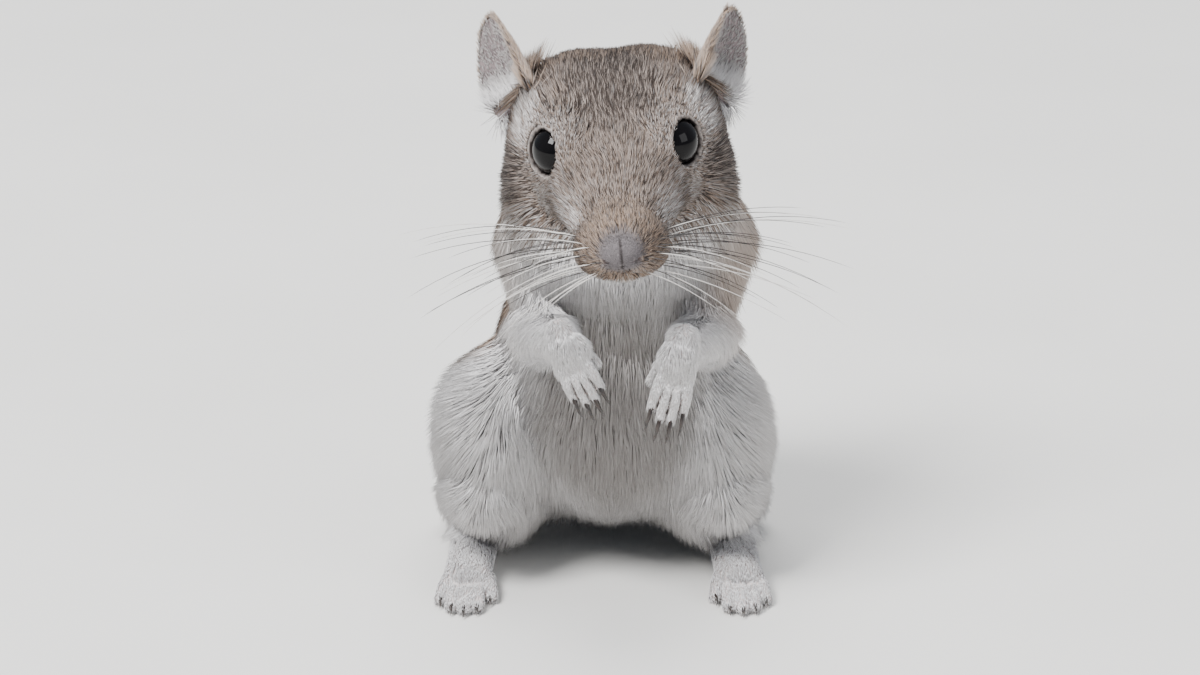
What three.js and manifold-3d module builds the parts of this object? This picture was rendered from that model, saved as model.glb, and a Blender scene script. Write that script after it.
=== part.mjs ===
// A life-size gerbil that sits up on its haunches, in millimetres, +Z up, with the animal looking along -Y.
// Its flesh, out to the tips of the coat, is one smooth field of blended ellipsoids and round cones.
// The field is drawn as a closed surface and parted into the body's own divisions by thin cuts.
// Ears, eyes, digits, claws and the tail are profiles carried along a path.
import * as THREE from 'three';
import { ParametricGeometry } from 'three/addons/geometries/ParametricGeometry.js';
import { mergeVertices } from 'three/addons/utils/BufferGeometryUtils.js';
import Module from 'manifold-3d';

const wasm = await Module();
wasm.setup();

// Driving dimensions
const GAP = 0.3; // between nodes that touch
const EYE_LINE = 57; // height of the eyes above the floor
const EYE_FORWARD = 12; // the eyes ahead of the ankles' plane
const HEAD_SIDE = -0.6; // the head's middle, to one side
const HEAD_PITCH = 9; // degrees, nose down
const HEAD_ROLL = -4.5; // degrees, crown towards the animal's right
const NOSE_REACH = 16; // nose tip ahead of the eyes
const NOSE_DROP = 6; // nose tip below the eyes
const TRUNK_SIDE = -2; // the trunk's middle, to one side
const CHEST_WIDTH = 27.4;
const BELLY_WIDTH = 31.4;
const EAR_LENGTH = 13.8;
const EAR_WIDTH = 8.8;
const EYE_RADIUS = 3.05;
const EYE_HALF_SPACING = 6.7;
const WHISKER_LENGTH = 23; // the longest
const WHISKER_RADIUS = 0.27; // at the root
const TAIL_LENGTH = 96;
const TAIL_BASE_RADIUS = 3.1;
const TAIL_END_RADIUS = 1.9;

const SIDES = [
  { name: 'right', sign: -1 },
  { name: 'left', sign: 1 },
];

const vec = (x, y, z) => new THREE.Vector3(x, y, z);
const rad = THREE.MathUtils.degToRad;
const mix = THREE.MathUtils.lerp;

// The head's own frame has its origin midway between the eyes, and the same axes as the body before it nods.
const headFrame = new THREE.Matrix4()
  .makeRotationFromEuler(new THREE.Euler(rad(HEAD_PITCH), rad(HEAD_ROLL), 0, 'YXZ'))
  .setPosition(HEAD_SIDE, -EYE_FORWARD, EYE_LINE);
const headInverse = headFrame.clone().invert();
const fromHead = (x, y, z) => vec(x, y, z).applyMatrix4(headFrame);

// Fields: each is a function of x, y, z that is negative inside

const turned = (pitch, yaw) =>
  new THREE.Matrix4().makeRotationFromEuler(new THREE.Euler(rad(pitch), 0, rad(yaw), 'ZYX'));

// An ellipsoid that may be turned about X by pitch and about Z by yaw, in degrees.
function ellipsoid(at, radii, pitch = 0, yaw = 0) {
  const e = turned(pitch, yaw).transpose().elements;
  return (x, y, z) => {
    const [dx, dy, dz] = [x - at[0], y - at[1], z - at[2]];
    const px = (e[0] * dx + e[4] * dy + e[8] * dz) / radii[0];
    const py = (e[1] * dx + e[5] * dy + e[9] * dz) / radii[1];
    const pz = (e[2] * dx + e[6] * dy + e[10] * dz) / radii[2];
    const k0 = Math.hypot(px, py, pz);
    const k1 = Math.hypot(px / radii[0], py / radii[1], pz / radii[2]);
    return k1 > 0 ? (k0 * (k0 - 1)) / k1 : -Math.min(...radii);
  };
}

// A ball of radius ra at a that tapers evenly to a ball of radius rb at b.
function cone(a, b, ra, rb) {
  const start = vec(...a);
  const along = vec(...b).sub(start);
  const length2 = along.lengthSq();
  return (x, y, z) => {
    const [dx, dy, dz] = [x - start.x, y - start.y, z - start.z];
    const t = THREE.MathUtils.clamp((dx * along.x + dy * along.y + dz * along.z) / length2, 0, 1);
    return Math.hypot(dx - t * along.x, dy - t * along.y, dz - t * along.z) - mix(ra, rb, t);
  };
}

// The smooth union of two distances, which rounds their crease over k.
function smoothMin(a, b, k) {
  const h = Math.max(k - Math.abs(a - b), 0) / k;
  return Math.min(a, b) - (h * h * k) / 4;
}

const blend = (k, fields) => (x, y, z) => fields.reduce((d, f) => smoothMin(d, f(x, y, z), k), 1e3);
const carve = (k, field, cutter) => (x, y, z) => -smoothMin(-field(x, y, z), cutter(x, y, z), k);
const mirrored = (make) => SIDES.map(({ sign }) => make(sign));

// Head, in its own frame
const EYE_AT = (sign) => [sign * EYE_HALF_SPACING, 0.2, 0.3];
const EYE_LOOK = (sign) => vec(sign * Math.sin(rad(53)), -Math.cos(rad(53)), 0.2).normalize();

const skull = blend(3.5, [
  ellipsoid([0, 9.5, -1.2], [12.4, 12.5, 8.4]),
  ...mirrored((s) => ellipsoid([s * 4.8, 10, -0.2], [6.6, 9.6, 7.6])),
  ellipsoid([0, 0.5, -2.6], [8.4, 10, 6.9], 16),
  ...mirrored((s) => ellipsoid([s * 5.6, 8.2, -6.2], [8.2, 9.2, 7.6])),
]);
const snout = blend(2.2, [
  cone([0, -2, -3.6], [0, -12.4, -5.8], 6.1, 3.5),
  cone([0, -12, -5.6], [0, -(NOSE_REACH - 2.3), -NOSE_DROP], 2.9, 2.35),
  ...mirrored((s) => ellipsoid([s * 2.7, -10.6, -7.9], [2.8, 3.7, 2.8])),
  ...mirrored((s) => cone([s * 2, -9, -7], [s * 4.4, -1, -4.6], 2.6, 4.6)),
  cone([0, -8.6, -10.8], [0, 4, -11], 2.3, 5.2),
]);
const face = blend(2.6, [skull, snout]);
const orbit = (s) => ellipsoid([s * (EYE_HALF_SPACING - 0.5), 0.4, 0.2], [3.5, 3.9, 3.7]);
const headField = blend(1.6, [face, ...mirrored(orbit)]);
const headInWorld = (x, y, z) => {
  const e = headInverse.elements;
  return headField(
    e[0] * x + e[4] * y + e[8] * z + e[12],
    e[1] * x + e[5] * y + e[9] * z + e[13],
    e[2] * x + e[6] * y + e[10] * z + e[14],
  );
};

// Trunk
const neck = blend(5, [
  ellipsoid([0.2, 0.5, 46], [14.4, 12.5, 10.5], -20),
  ellipsoid([0.5, 1, 41], [14.4, 12.8, 10.5]),
]);
const trunk = blend(7, [
  ellipsoid([0.8, 5.5, 37], [CHEST_WIDTH / 2, 14.8, 13], -12),
  ellipsoid([-0.8, 6.5, 21.5], [BELLY_WIDTH / 2, 19.5, 16]),
  ellipsoid([TRUNK_SIDE, 14, 14.5], [15.5, 13, 11.5]),
]);

// Hind legs
const HIP_HALF_SPACING = 12.2;
const THIGH = (s) => ({ at: [TRUNK_SIDE + s * HIP_HALF_SPACING, 3.2, 15.6], radii: [8.6, 15, 12] });
const ANKLE = (s) => [TRUNK_SIDE + s * 15.4, 10.5, 4.4];
const KNEE = (s) => [TRUNK_SIDE + s * 14.6, -7.5, 12.5];
const TOE_ROOT = (s) => [TRUNK_SIDE + s * 16.4, -8.2, 1.9];
const THIGH_PITCH = -14; // degrees
const THIGH_YAW = 8;
const thigh = (s) => ellipsoid(THIGH(s).at, THIGH(s).radii, THIGH_PITCH, s * THIGH_YAW);
const shank = (s) => cone(KNEE(s), ANKLE(s), 5.2, 3.4);

// Forelegs: the arm lies in the coat of the chest, and the forearm reaches forward
const ARMS = {
  right: {
    shoulder: [-8.8, -1, 42],
    elbow: [-9.4, -9, 33.6],
    wrist: [-6.4, -19.4, 35.2],
    swing: 24, // degrees
    palm: 1,
  },
  left: {
    shoulder: [10.2, -1, 42],
    elbow: [10.4, -9, 33.4],
    wrist: [6.9, -19.6, 34.2],
    swing: -12, // degrees
    palm: 1.12,
  },
};
const upperArm = (side) => cone(ARMS[side].shoulder, ARMS[side].elbow, 6.2, 3.6);

const flesh = (() => {
  const limbs = SIDES.flatMap(({ name, sign }) => [thigh(sign), shank(sign), upperArm(name)]);
  const body = blend(5.5, [trunk, neck]);
  const withLimbs = blend(2.6, [body, ...limbs]);
  return (x, y, z) => smoothMin(withLimbs(x, y, z), headInWorld(x, y, z), 4);
})();

// Geometry

// Keeps positions alone, merges shared vertices and drops the faces that this collapses.
function welded(geometry, reach = 1e-4) {
  const bare = new THREE.BufferGeometry();
  bare.setAttribute('position', geometry.getAttribute('position'));
  if (geometry.index) bare.setIndex(geometry.index);
  const merged = mergeVertices(bare, reach);
  const kept = [];
  const index = merged.index.array;
  for (let i = 0; i < index.length; i += 3) {
    const [a, b, c] = [index[i], index[i + 1], index[i + 2]];
    if (a !== b && b !== c && a !== c) kept.push(a, b, c);
  }
  return merged.setIndex(kept);
}

// A closed geometry as a solid, with its faces turned to point outwards.
function solid(geometry) {
  const shape = welded(geometry);
  const vertProperties = new Float32Array(shape.attributes.position.array);
  const made = (triVerts) => new wasm.Manifold(new wasm.Mesh({ numProp: 3, vertProperties, triVerts }));
  const faces = new Uint32Array(shape.index.array);
  const asDrawn = made(faces);
  return asDrawn.volume() > 0 ? asDrawn : made(faces.slice().reverse());
}

// Grid places from low to just past high. The step is one number, or a function of the place.
function stations(low, high, step) {
  const places = [low];
  while (places[places.length - 1] < high) {
    const here = places[places.length - 1];
    places.push(here + (typeof step === 'function' ? step(here) : step));
  }
  return places;
}

// The surface where a field is zero, drawn over a grid of stations: one vertex in each cell that the surface
// crosses, at the mean of its crossings, and one quad for each grid edge that it crosses.
class FieldGeometry extends THREE.BufferGeometry {
  constructor(field, xs, ys, zs) {
    super();
    const [nx, ny, nz] = [xs.length, ys.length, zs.length];
    const at = (i, j, k) => (k * ny + j) * nx + i;
    const value = new Float32Array(nx * ny * nz);
    for (let k = 0; k < nz; k++)
      for (let j = 0; j < ny; j++)
        for (let i = 0; i < nx; i++) {
          const rim = i === 0 || j === 0 || k === 0 || i === nx - 1 || j === ny - 1 || k === nz - 1;
          value[at(i, j, k)] = rim ? 1 : field(xs[i], ys[j], zs[k]);
        }
    const positions = [];
    const vertexOf = new Map();
    const corners = [0, 1, 2, 3, 4, 5, 6, 7].map((c) => [c & 1, (c >> 1) & 1, c >> 2]);
    const apart = (a, b) => a.reduce((n, v, m) => n + Math.abs(v - b[m]), 0);
    const edges = corners.flatMap((a, i) =>
      corners.slice(i + 1).filter((b) => apart(a, b) === 1).map((b) => [a, b]));
    for (let k = 0; k < nz - 1; k++)
      for (let j = 0; j < ny - 1; j++)
        for (let i = 0; i < nx - 1; i++) {
          const sum = vec(0, 0, 0);
          let crossings = 0;
          for (const [a, b] of edges) {
            const va = value[at(i + a[0], j + a[1], k + a[2])];
            const vb = value[at(i + b[0], j + b[1], k + b[2])];
            if (va < 0 === vb < 0) continue;
            const t = va / (va - vb);
            sum.x += mix(xs[i + a[0]], xs[i + b[0]], t);
            sum.y += mix(ys[j + a[1]], ys[j + b[1]], t);
            sum.z += mix(zs[k + a[2]], zs[k + b[2]], t);
            crossings++;
          }
          if (!crossings) continue;
          sum.divideScalar(crossings);
          vertexOf.set(at(i, j, k), positions.length / 3);
          positions.push(sum.x, sum.y, sum.z);
        }
    const faces = [];
    const strides = [1, nx, nx * ny];
    for (let k = 0; k < nz - 1; k++)
      for (let j = 0; j < ny - 1; j++)
        for (let i = 0; i < nx - 1; i++) {
          const here = at(i, j, k);
          const place = [i, j, k];
          for (let axis = 0; axis < 3; axis++) {
            if (!place[(axis + 1) % 3] || !place[(axis + 2) % 3]) continue;
            const inside = value[here] < 0;
            if (inside === value[here + strides[axis]] < 0) continue;
            const [u, v] = [strides[(axis + 1) % 3], strides[(axis + 2) % 3]];
            const quad = [here, here - u, here - u - v, here - v].map((cell) => vertexOf.get(cell));
            if (!inside) quad.reverse();
            faces.push(quad[0], quad[1], quad[2], quad[0], quad[2], quad[3]);
          }
        }
    this.setAttribute('position', new THREE.Float32BufferAttribute(positions, 3));
    this.setIndex(faces);
  }
}

// A closed body whose round section is carried along a curve. radius(t) gives half the width, flat(t) the
// thickness as a share of the width, and the ends close in a point.
function limb(points, radius, { sides = 8, rings = 12, flat = () => 1, across = vec(1, 0, 0) } = {}) {
  const curve = new THREE.CatmullRomCurve3(points.map((p) => (p.isVector3 ? p : vec(...p))));
  return new ParametricGeometry(
    (u, v, target) => {
      const end = 0.5 - 0.5 * Math.cos(Math.PI * u);
      const centre = curve.getPoint(end);
      const tangent = curve.getTangent(end);
      const side = across.clone().addScaledVector(tangent, -across.dot(tangent)).normalize();
      const up = vec(0, 0, 0).crossVectors(tangent, side);
      const round = Math.sin(Math.PI * u) ** 0.6;
      const r = u <= 0 || u >= 1 ? 0 : radius(end) * Math.min(1, round * 1.25);
      const angle = 2 * Math.PI * (v >= 1 ? 0 : v);
      target.copy(centre)
        .addScaledVector(side, r * Math.cos(angle))
        .addScaledVector(up, r * flat(end) * Math.sin(angle));
    },
    rings,
    sides,
  );
}

const ball = (radius, at, sides) => new THREE.SphereGeometry(radius, sides, sides / 2 + 2).translate(...at);

function ellipsoidBody(at, radii, pitch = 0, yaw = 0, sides = 28) {
  return new THREE.SphereGeometry(1, sides, sides / 2)
    .scale(...radii)
    .applyMatrix4(turned(pitch, yaw))
    .translate(...at);
}

const union = (shapes) => shapes.reduce((a, b) => a.add(b));
const above = (shape, normal, point, gap = GAP / 2) =>
  shape.trimByPlane([normal.x, normal.y, normal.z], normal.dot(point) + gap);
const below = (shape, normal, point) => above(shape, normal.clone().negate(), point);
const onFloor = (shape) => shape.trimByPlane([0, 0, 1], 0);

// The largest closed body alone.
function largest(shape) {
  return shape.decompose().sort((a, b) => b.volume() - a.volume())[0];
}

// Moves a point along a field's slope until it lies that far outside the field's surface.
function onSurface(field, point, out = 0) {
  const p = point.clone();
  const step = 0.05;
  for (let i = 0; i < 6; i++) {
    const here = field(p.x, p.y, p.z);
    const slope = vec(
      field(p.x + step, p.y, p.z) - here,
      field(p.x, p.y + step, p.z) - here,
      field(p.x, p.y, p.z + step) - here,
    ).divideScalar(step);
    p.addScaledVector(slope, -(here - out) / slope.lengthSq());
  }
  return p;
}

const COAT_TOP = 0x9a8470;
const COAT_PALE = 0xd9d4cc;
const COAT_FOOT = 0xd8d0c6;
const EAR_SKIN = 0xb9a49a;
const EYE_BLACK = 0x0b090a;
const BRUSH_DARK = 0x3a332e;

const SMALLEST_EDGE = 0.0012; // points closer than this are one
const parts = new THREE.Group();
function addNode(name, shape, color, roughness = 0.9) {
  const mesh = largest(shape).getMesh();
  const cut = new THREE.BufferGeometry();
  cut.setAttribute('position', new THREE.BufferAttribute(new Float32Array(mesh.vertProperties), 3));
  cut.setIndex(new THREE.BufferAttribute(new Uint32Array(mesh.triVerts), 1));
  const geometry = welded(cut, SMALLEST_EDGE);
  geometry.computeVertexNormals();
  const made = new THREE.Mesh(geometry, new THREE.MeshStandardMaterial({ color, roughness, metalness: 0 }));
  made.name = name;
  parts.add(made);
}

// Hind foot: a long sole, five toes and their claws, all flat where they meet the floor
const TOES = [
  { reach: 4.6, spread: -2.3 },
  { reach: 7.6, spread: -1.25 },
  { reach: 8.4, spread: -0.1 },
  { reach: 7.7, spread: 1.05 },
  { reach: 5.6, spread: 2.1 },
];
const CLAW_ARCH = [[-0.7, 1], [0.7, 1.05], [1.9, 0.42]]; // past the toe's tip, and above the floor
function hindFoot(s, grow = 0) {
  const root = vec(...TOE_ROOT(s));
  const ankle = vec(...ANKLE(s));
  const heel = vec(ankle.x, ankle.y + 2, 2);
  const ahead = root.clone().sub(heel).setZ(0).normalize();
  const across = vec(-ahead.y, ahead.x, 0).multiplyScalar(s);
  const arch = heel.clone().lerp(root, 0.5).setZ(1.75);
  const sole = [heel, arch, root.clone().addScaledVector(ahead, 1.6).setZ(1.2)];
  const hock = [heel, ankle.clone().add(vec(0, -0.4, 2.2))];
  const width = (t) => mix(2.5, 3.3, t) + grow;
  const pieces = [
    solid(limb(sole, width, { sides: 10, rings: 10, flat: (t) => mix(0.92, 0.55, t), across })),
    solid(limb(hock, () => 3 + grow, { sides: 10, rings: 5, across })),
  ];
  if (grow) return union(pieces);
  for (const { reach, spread } of TOES) {
    const start = root.clone().addScaledVector(across, spread * 0.95).setZ(1.05);
    const tip = root.clone().addScaledVector(ahead, reach).addScaledVector(across, spread * 1.35).setZ(0.7);
    const middle = start.clone().lerp(tip, 0.55).setZ(1.2);
    const claw = CLAW_ARCH.map(([out, height]) => tip.clone().addScaledVector(ahead, out).setZ(height));
    pieces.push(solid(limb([start, middle, tip], (t) => mix(1.05, 0.85, t), { sides: 6, rings: 5, across })));
    pieces.push(solid(limb(claw, (t) => mix(0.5, 0.3, t), { sides: 5, rings: 3, across })));
  }
  return onFloor(union(pieces));
}

// Forepaw: a slender palm that hangs from the wrist, four fingers, a small thumb, and claws
const FINGERS = [
  { reach: 6.2, spread: -1.5 },
  { reach: 7.2, spread: -0.52 },
  { reach: 7.2, spread: 0.52 },
  { reach: 6.1, spread: 1.5 },
];
function pawAxes(side) {
  const swing = rad(ARMS[side].swing);
  const down = vec(Math.sin(swing), -0.1, -Math.cos(swing)).normalize();
  return { down, across: vec(Math.cos(swing), 0, Math.sin(swing)) };
}
function forepaw(side) {
  const { wrist, palm } = ARMS[side];
  const { down, across } = pawAxes(side);
  const place = (along, aside, behind = 0) =>
    vec(...wrist)
      .addScaledVector(down, along * palm)
      .addScaledVector(across, aside * palm)
      .add(vec(0, behind, 0));
  const palmLine = [place(-2.2, 0, 1.6), place(0, 0), place(2, 0), place(4.6, 0)];
  const palmWidth = (t) => mix(1.9, 2.7, t) * palm;
  const pieces = [solid(limb(palmLine, palmWidth, { sides: 10, rings: 9, flat: () => 0.64, across }))];
  for (const { reach, spread } of FINGERS) {
    const finger = [
      place(2.6, spread * 1.05),
      place(reach * 0.72, spread * 1.28, -0.35),
      place(reach, spread * 1.35, 0.5),
    ];
    const claw = [
      place(reach - 0.8, spread * 1.33, -0.05),
      place(reach + 0.9, spread * 1.4, 0.05),
      place(reach + 2.2, spread * 1.42, 0.65),
    ];
    pieces.push(solid(limb(finger, (t) => mix(0.88, 0.68, t), { sides: 6, rings: 5, across })));
    pieces.push(solid(limb(claw, (t) => mix(0.46, 0.3, t), { sides: 5, rings: 3, across })));
  }
  const inner = side === 'left' ? -1 : 1;
  const thumb = [place(1.4, inner * 1.6, 0.6), place(3.6, inner * 2.5, 1.1)];
  pieces.push(solid(limb(thumb, () => 0.6, { sides: 6, rings: 4, across })));
  return union(pieces);
}

// Tail: a tube from the rump that lies along the floor, in three lengths, with a brush of locks at its end
const TAIL_ROOT = 22; // behind the ankles' plane
const TAIL_PATH = [
  [TRUNK_SIDE, TAIL_ROOT, 8.5],
  [TRUNK_SIDE, TAIL_ROOT + 7, 4.2],
  [TRUNK_SIDE + 1, TAIL_ROOT + 16, 2.55],
  [TRUNK_SIDE + 4.5, TAIL_ROOT + 34, 2.25],
  [TRUNK_SIDE + 4, TAIL_ROOT + 56, 2],
  [TRUNK_SIDE - 1, TAIL_ROOT + 76, 1.75],
  [TRUNK_SIDE - 5, TAIL_ROOT + TAIL_LENGTH, 1.6],
];
const tailCurve = new THREE.CatmullRomCurve3(TAIL_PATH.map((p) => vec(...p)));
const tailRadius = (t) => mix(TAIL_BASE_RADIUS, TAIL_END_RADIUS, Math.min(1, t * 1.3));
const tailTube = (grow = 0) => solid(limb(TAIL_PATH, (t) => tailRadius(t) + grow, { sides: 10, rings: 30 }));

// Planes of the cuts
const HEAD_CUT = { point: vec(-0.8, -0.6, 51.4), normal: vec(0, -0.68, 0.733).normalize() };
const NECK_CUT = { point: vec(-1, 2, 41), normal: vec(0, -0.3, 0.954).normalize() };
const forearmAxis = (side) => vec(...ARMS[side].wrist).sub(vec(...ARMS[side].elbow)).normalize();
const elbowPoint = (side) => vec(...ARMS[side].elbow).addScaledVector(forearmAxis(side), 1.8);

// Trunk, neck, thighs, shanks and arms are parted from one surface
const BODY_CELL = 3.2;
const whole = solid(new FieldGeometry(
  flesh, stations(-29, 26, BODY_CELL), stations(-22, 34, BODY_CELL), stations(-3, 66, BODY_CELL)));
const cutters = {
  thigh: (s, grow) => {
    const { at, radii } = THIGH(s);
    const middle = [at[0] + s * 1.4, at[1], at[2] + 0.6];
    return solid(ellipsoidBody(middle, radii.map((r) => r + 0.5 + grow), THIGH_PITCH, s * THIGH_YAW, 20));
  },
  shank: (s, grow) => {
    const knee = vec(...KNEE(s));
    const ankle = vec(...ANKLE(s));
    const line = [-0.5, 0.5, 1.4].map((t) => knee.clone().lerp(ankle, t));
    return solid(limb(line, (t) => mix(6.6, 5, t) + grow, { sides: 12, rings: 9 }));
  },
  arm: (side, grow) => {
    const shoulder = vec(...ARMS[side].shoulder);
    const elbow = vec(...ARMS[side].elbow);
    const top = shoulder.clone().add(vec(Math.sign(shoulder.x) * 1.8, 0, 3));
    const line = [top, shoulder.clone().lerp(elbow, 0.55), elbow.clone().add(vec(0, -2.5, -2.5))];
    return solid(limb(line, (t) => mix(6, 5.2, t) + grow, { sides: 12, rings: 9 }));
  },
};
const withoutFeet = SIDES.reduce((shape, { sign }) => shape.subtract(hindFoot(sign, GAP)), whole);
let rest = withoutFeet.subtract(tailTube(GAP));
for (const { name, sign } of SIDES) {
  addNode(`shank_${name}`, rest.intersect(cutters.shank(sign, 0)), COAT_PALE);
  rest = rest.subtract(cutters.shank(sign, GAP));
  addNode(`thigh_${name}`, rest.intersect(cutters.thigh(sign, 0)), COAT_PALE);
  rest = rest.subtract(cutters.thigh(sign, GAP));
  const arm = below(rest.intersect(cutters.arm(name, 0)), forearmAxis(name), elbowPoint(name));
  addNode(`arm_${name}`, below(arm, HEAD_CUT.normal, HEAD_CUT.point), COAT_PALE);
  rest = rest.subtract(cutters.arm(name, GAP));
}
addNode('torso', below(rest, NECK_CUT.normal, NECK_CUT.point), COAT_PALE);
const aboveTorso = above(rest, NECK_CUT.normal, NECK_CUT.point);
addNode('neck', below(aboveTorso, HEAD_CUT.normal, HEAD_CUT.point), COAT_PALE);

for (const { name, sign } of SIDES) {
  addNode(`foot_${name}`, hindFoot(sign), COAT_FOOT);
  const { wrist, elbow } = ARMS[name];
  const { down } = pawAxes(name);
  const wristPoint = vec(...wrist).addScaledVector(down, 0.2);
  const end = wristPoint.clone().addScaledVector(down, 1.5);
  const line = [elbow, vec(...elbow).lerp(vec(...wrist), 0.5), wrist, end];
  const forearm = solid(limb(line, (t) => mix(3.5, 2.2, t), { sides: 12, rings: 14 }));
  const freed = above(forearm, forearmAxis(name), elbowPoint(name));
  addNode(`forearm_${name}`, below(freed, down, wristPoint), COAT_PALE);
  addNode(`paw_${name}`, above(forepaw(name), down, wristPoint), COAT_FOOT);
}

// Tail lengths and brush
const tail = onFloor(tailTube());
const tailCut = (t) => ({ point: tailCurve.getPoint(t), normal: tailCurve.getTangent(t) });
const [firstCut, secondCut] = [0.36, 0.68].map(tailCut);
const BRUSH = { start: 0.84, end: 0.965, locks: 20, perRow: 10, turn: 2.4, length: 11, spread: 2.4 };
const brushLock = (n) => {
  const row = (n % BRUSH.perRow) / (BRUSH.perRow - 1);
  const t = mix(BRUSH.start, BRUSH.end, row + 0.02 * Math.sin(7 * n));
  const round = BRUSH.turn * n;
  const along = tailCurve.getTangent(t);
  const side = vec(0, 0, 1).cross(along).normalize();
  const out = side.clone().multiplyScalar(Math.cos(round)).add(vec(0, 0, Math.sin(round)));
  const root = tailCurve.getPoint(t).addScaledVector(out, tailRadius(t) * 0.35);
  const length = BRUSH.length * (0.8 + 0.2 * Math.sin(3 * n));
  const middle = root.clone().addScaledVector(along, length * 0.45).addScaledVector(out, BRUSH.spread * 0.75);
  const tip = root.clone().addScaledVector(along, length).addScaledVector(out, BRUSH.spread * 0.9);
  for (const p of [middle, tip]) p.z = Math.max(p.z, 0.5);
  const shape = { sides: 4, rings: 4, flat: () => 0.6, across: side };
  return solid(limb([root, middle, tip], (v) => mix(1.05, 0.32, v), shape));
};
const brush = union(Array.from({ length: BRUSH.locks }, (_, n) => brushLock(n)));
addNode('tail_base', below(tail, firstCut.normal, firstCut.point), COAT_TOP);
const pastBase = above(tail, firstCut.normal, firstCut.point);
addNode('tail_middle', below(pastBase, secondCut.normal, secondCut.point), COAT_TOP);
addNode('tail_brush', onFloor(above(tail, secondCut.normal, secondCut.point).add(brush)), BRUSH_DARK);

// Head, with sockets, lids, nostrils and mouth
const headShape = solid(new FieldGeometry(
  (x, y, z) => {
    const p = fromHead(x, y, z);
    return flesh(p.x, p.y, p.z);
  },
  stations(-19, 19, (x) => (Math.abs(x) < 5 ? 1.4 : 2.2)),
  stations(-20, 22, (y) => (y < -2 ? 1.45 : 2.5)),
  stations(-22, 12, (z) => (z < -12 ? 2.6 : 1.66)),
));
// The lids are a shell round the eyeball with an almond opening, which a flattened cone from its middle cuts.
const LID_RADIUS = EYE_RADIUS + 1;
const LID_OPEN = 56; // degrees from the middle of the gaze to the lid's edge
const lidShell = (s) => solid(ball(LID_RADIUS, EYE_AT(s), 16));
function lidOpening(s) {
  const look = EYE_LOOK(s);
  const reach = 2 * LID_RADIUS;
  const level = vec(0, 0, 1).cross(look).normalize();
  const upright = vec(0, 0, 0).crossVectors(look, level).multiplyScalar(0.93);
  const opening = new THREE.ConeGeometry(reach * Math.tan(rad(LID_OPEN)), reach, 16)
    .translate(0, -reach / 2, 0)
    .rotateX(-Math.PI / 2)
    .applyMatrix4(new THREE.Matrix4().makeBasis(level, upright, look).setPosition(...EYE_AT(s)));
  return solid(opening);
}
// The line of the mouth runs round the muzzle from corner to corner, a little lower at its ends.
const MOUTH = { corner: 5.2, front: -13.2, back: 6.6, height: -9.4, fall: 1.3, lip: 0.5 };
const mouthLine = (lift) => [-1, -0.62, -0.3, 0, 0.3, 0.62, 1].map((m) => {
  const [back, height] = [MOUTH.front + MOUTH.back * m * m, MOUTH.height - MOUTH.fall * m * m];
  return onSurface(headField, vec(MOUTH.corner * m, back, height + lift), 0.02);
});
const alongMouth = (lift, radius) =>
  solid(limb(mouthLine(lift), () => radius, { sides: 6, rings: 12, across: vec(0, 0, 1) }));
const lips = [MOUTH.lip, -MOUTH.lip].map((lift) => alongMouth(lift, 0.45));
const mouth = alongMouth(0, 0.34);
const philtrumLine = [-7.4, -8.3, -9.2].map((z) => onSurface(headField, vec(0, -15, z), 0.1));
const philtrum = solid(limb(philtrumLine, () => 0.3, { sides: 6, rings: 6 }));
const nostrils = mirrored((s) => {
  const at = onSurface(headField, vec(s * 1.45, -15.2, -6.9), -0.1);
  return solid(ellipsoidBody([at.x, at.y, at.z], [0.5, 0.9, 0.38], 0, s * 35, 8));
});
// The stoutest whiskers, in rows and columns on each pad: the further back, the longer
const WHISKER_ROWS = [0, 0.5, 1];
const WHISKER_COLUMNS = [0.35, 1];
const WHISKER_DROOP = vec(0, 0.12, -0.34);
function whisker(s, up, back) {
  const pad = vec(s * (2.9 + 1.5 * back), -13 + 3.7 * back, -8.4 + 1.6 * up);
  const out = vec(s, -0.2 + 0.5 * back, -0.22 + 0.34 * up).normalize();
  const reach = WHISKER_LENGTH * (0.45 + 0.55 * back) * (1 - 0.12 * Math.abs(up - 0.5));
  const path = [0, 0.5, 1].map((t) =>
    pad.clone().addScaledVector(out, reach * t).addScaledVector(WHISKER_DROOP, reach * t * t));
  const thickness = (t) => mix(WHISKER_RADIUS, WHISKER_RADIUS / 3, t);
  return solid(limb(path, thickness, { sides: 3, rings: 5, across: vec(0, 0, 1) }));
}
const whiskers = WHISKER_ROWS.flatMap((up) =>
  WHISKER_COLUMNS.flatMap((back) => mirrored((s) => whisker(s, up, back))));
const headWithLids = union([headShape, ...mirrored(lidShell), ...lips, ...whiskers]);
const socket = (s) => solid(ball(EYE_RADIUS + GAP, EYE_AT(s), 18));
const headCuts = [mouth, philtrum, ...nostrils, ...mirrored(lidOpening), ...mirrored(socket)];
const toWorld = (shape) => shape.transform(headFrame.elements.slice());
const headDone = toWorld(headCuts.reduce((shape, cut) => shape.subtract(cut), headWithLids));
addNode('head', above(headDone, HEAD_CUT.normal, HEAD_CUT.point), COAT_TOP);
for (const { name, sign } of SIDES) {
  addNode(`eye_${name}`, toWorld(solid(ball(EYE_RADIUS, EYE_AT(sign), 12))), EYE_BLACK, 0.1);
}

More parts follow.
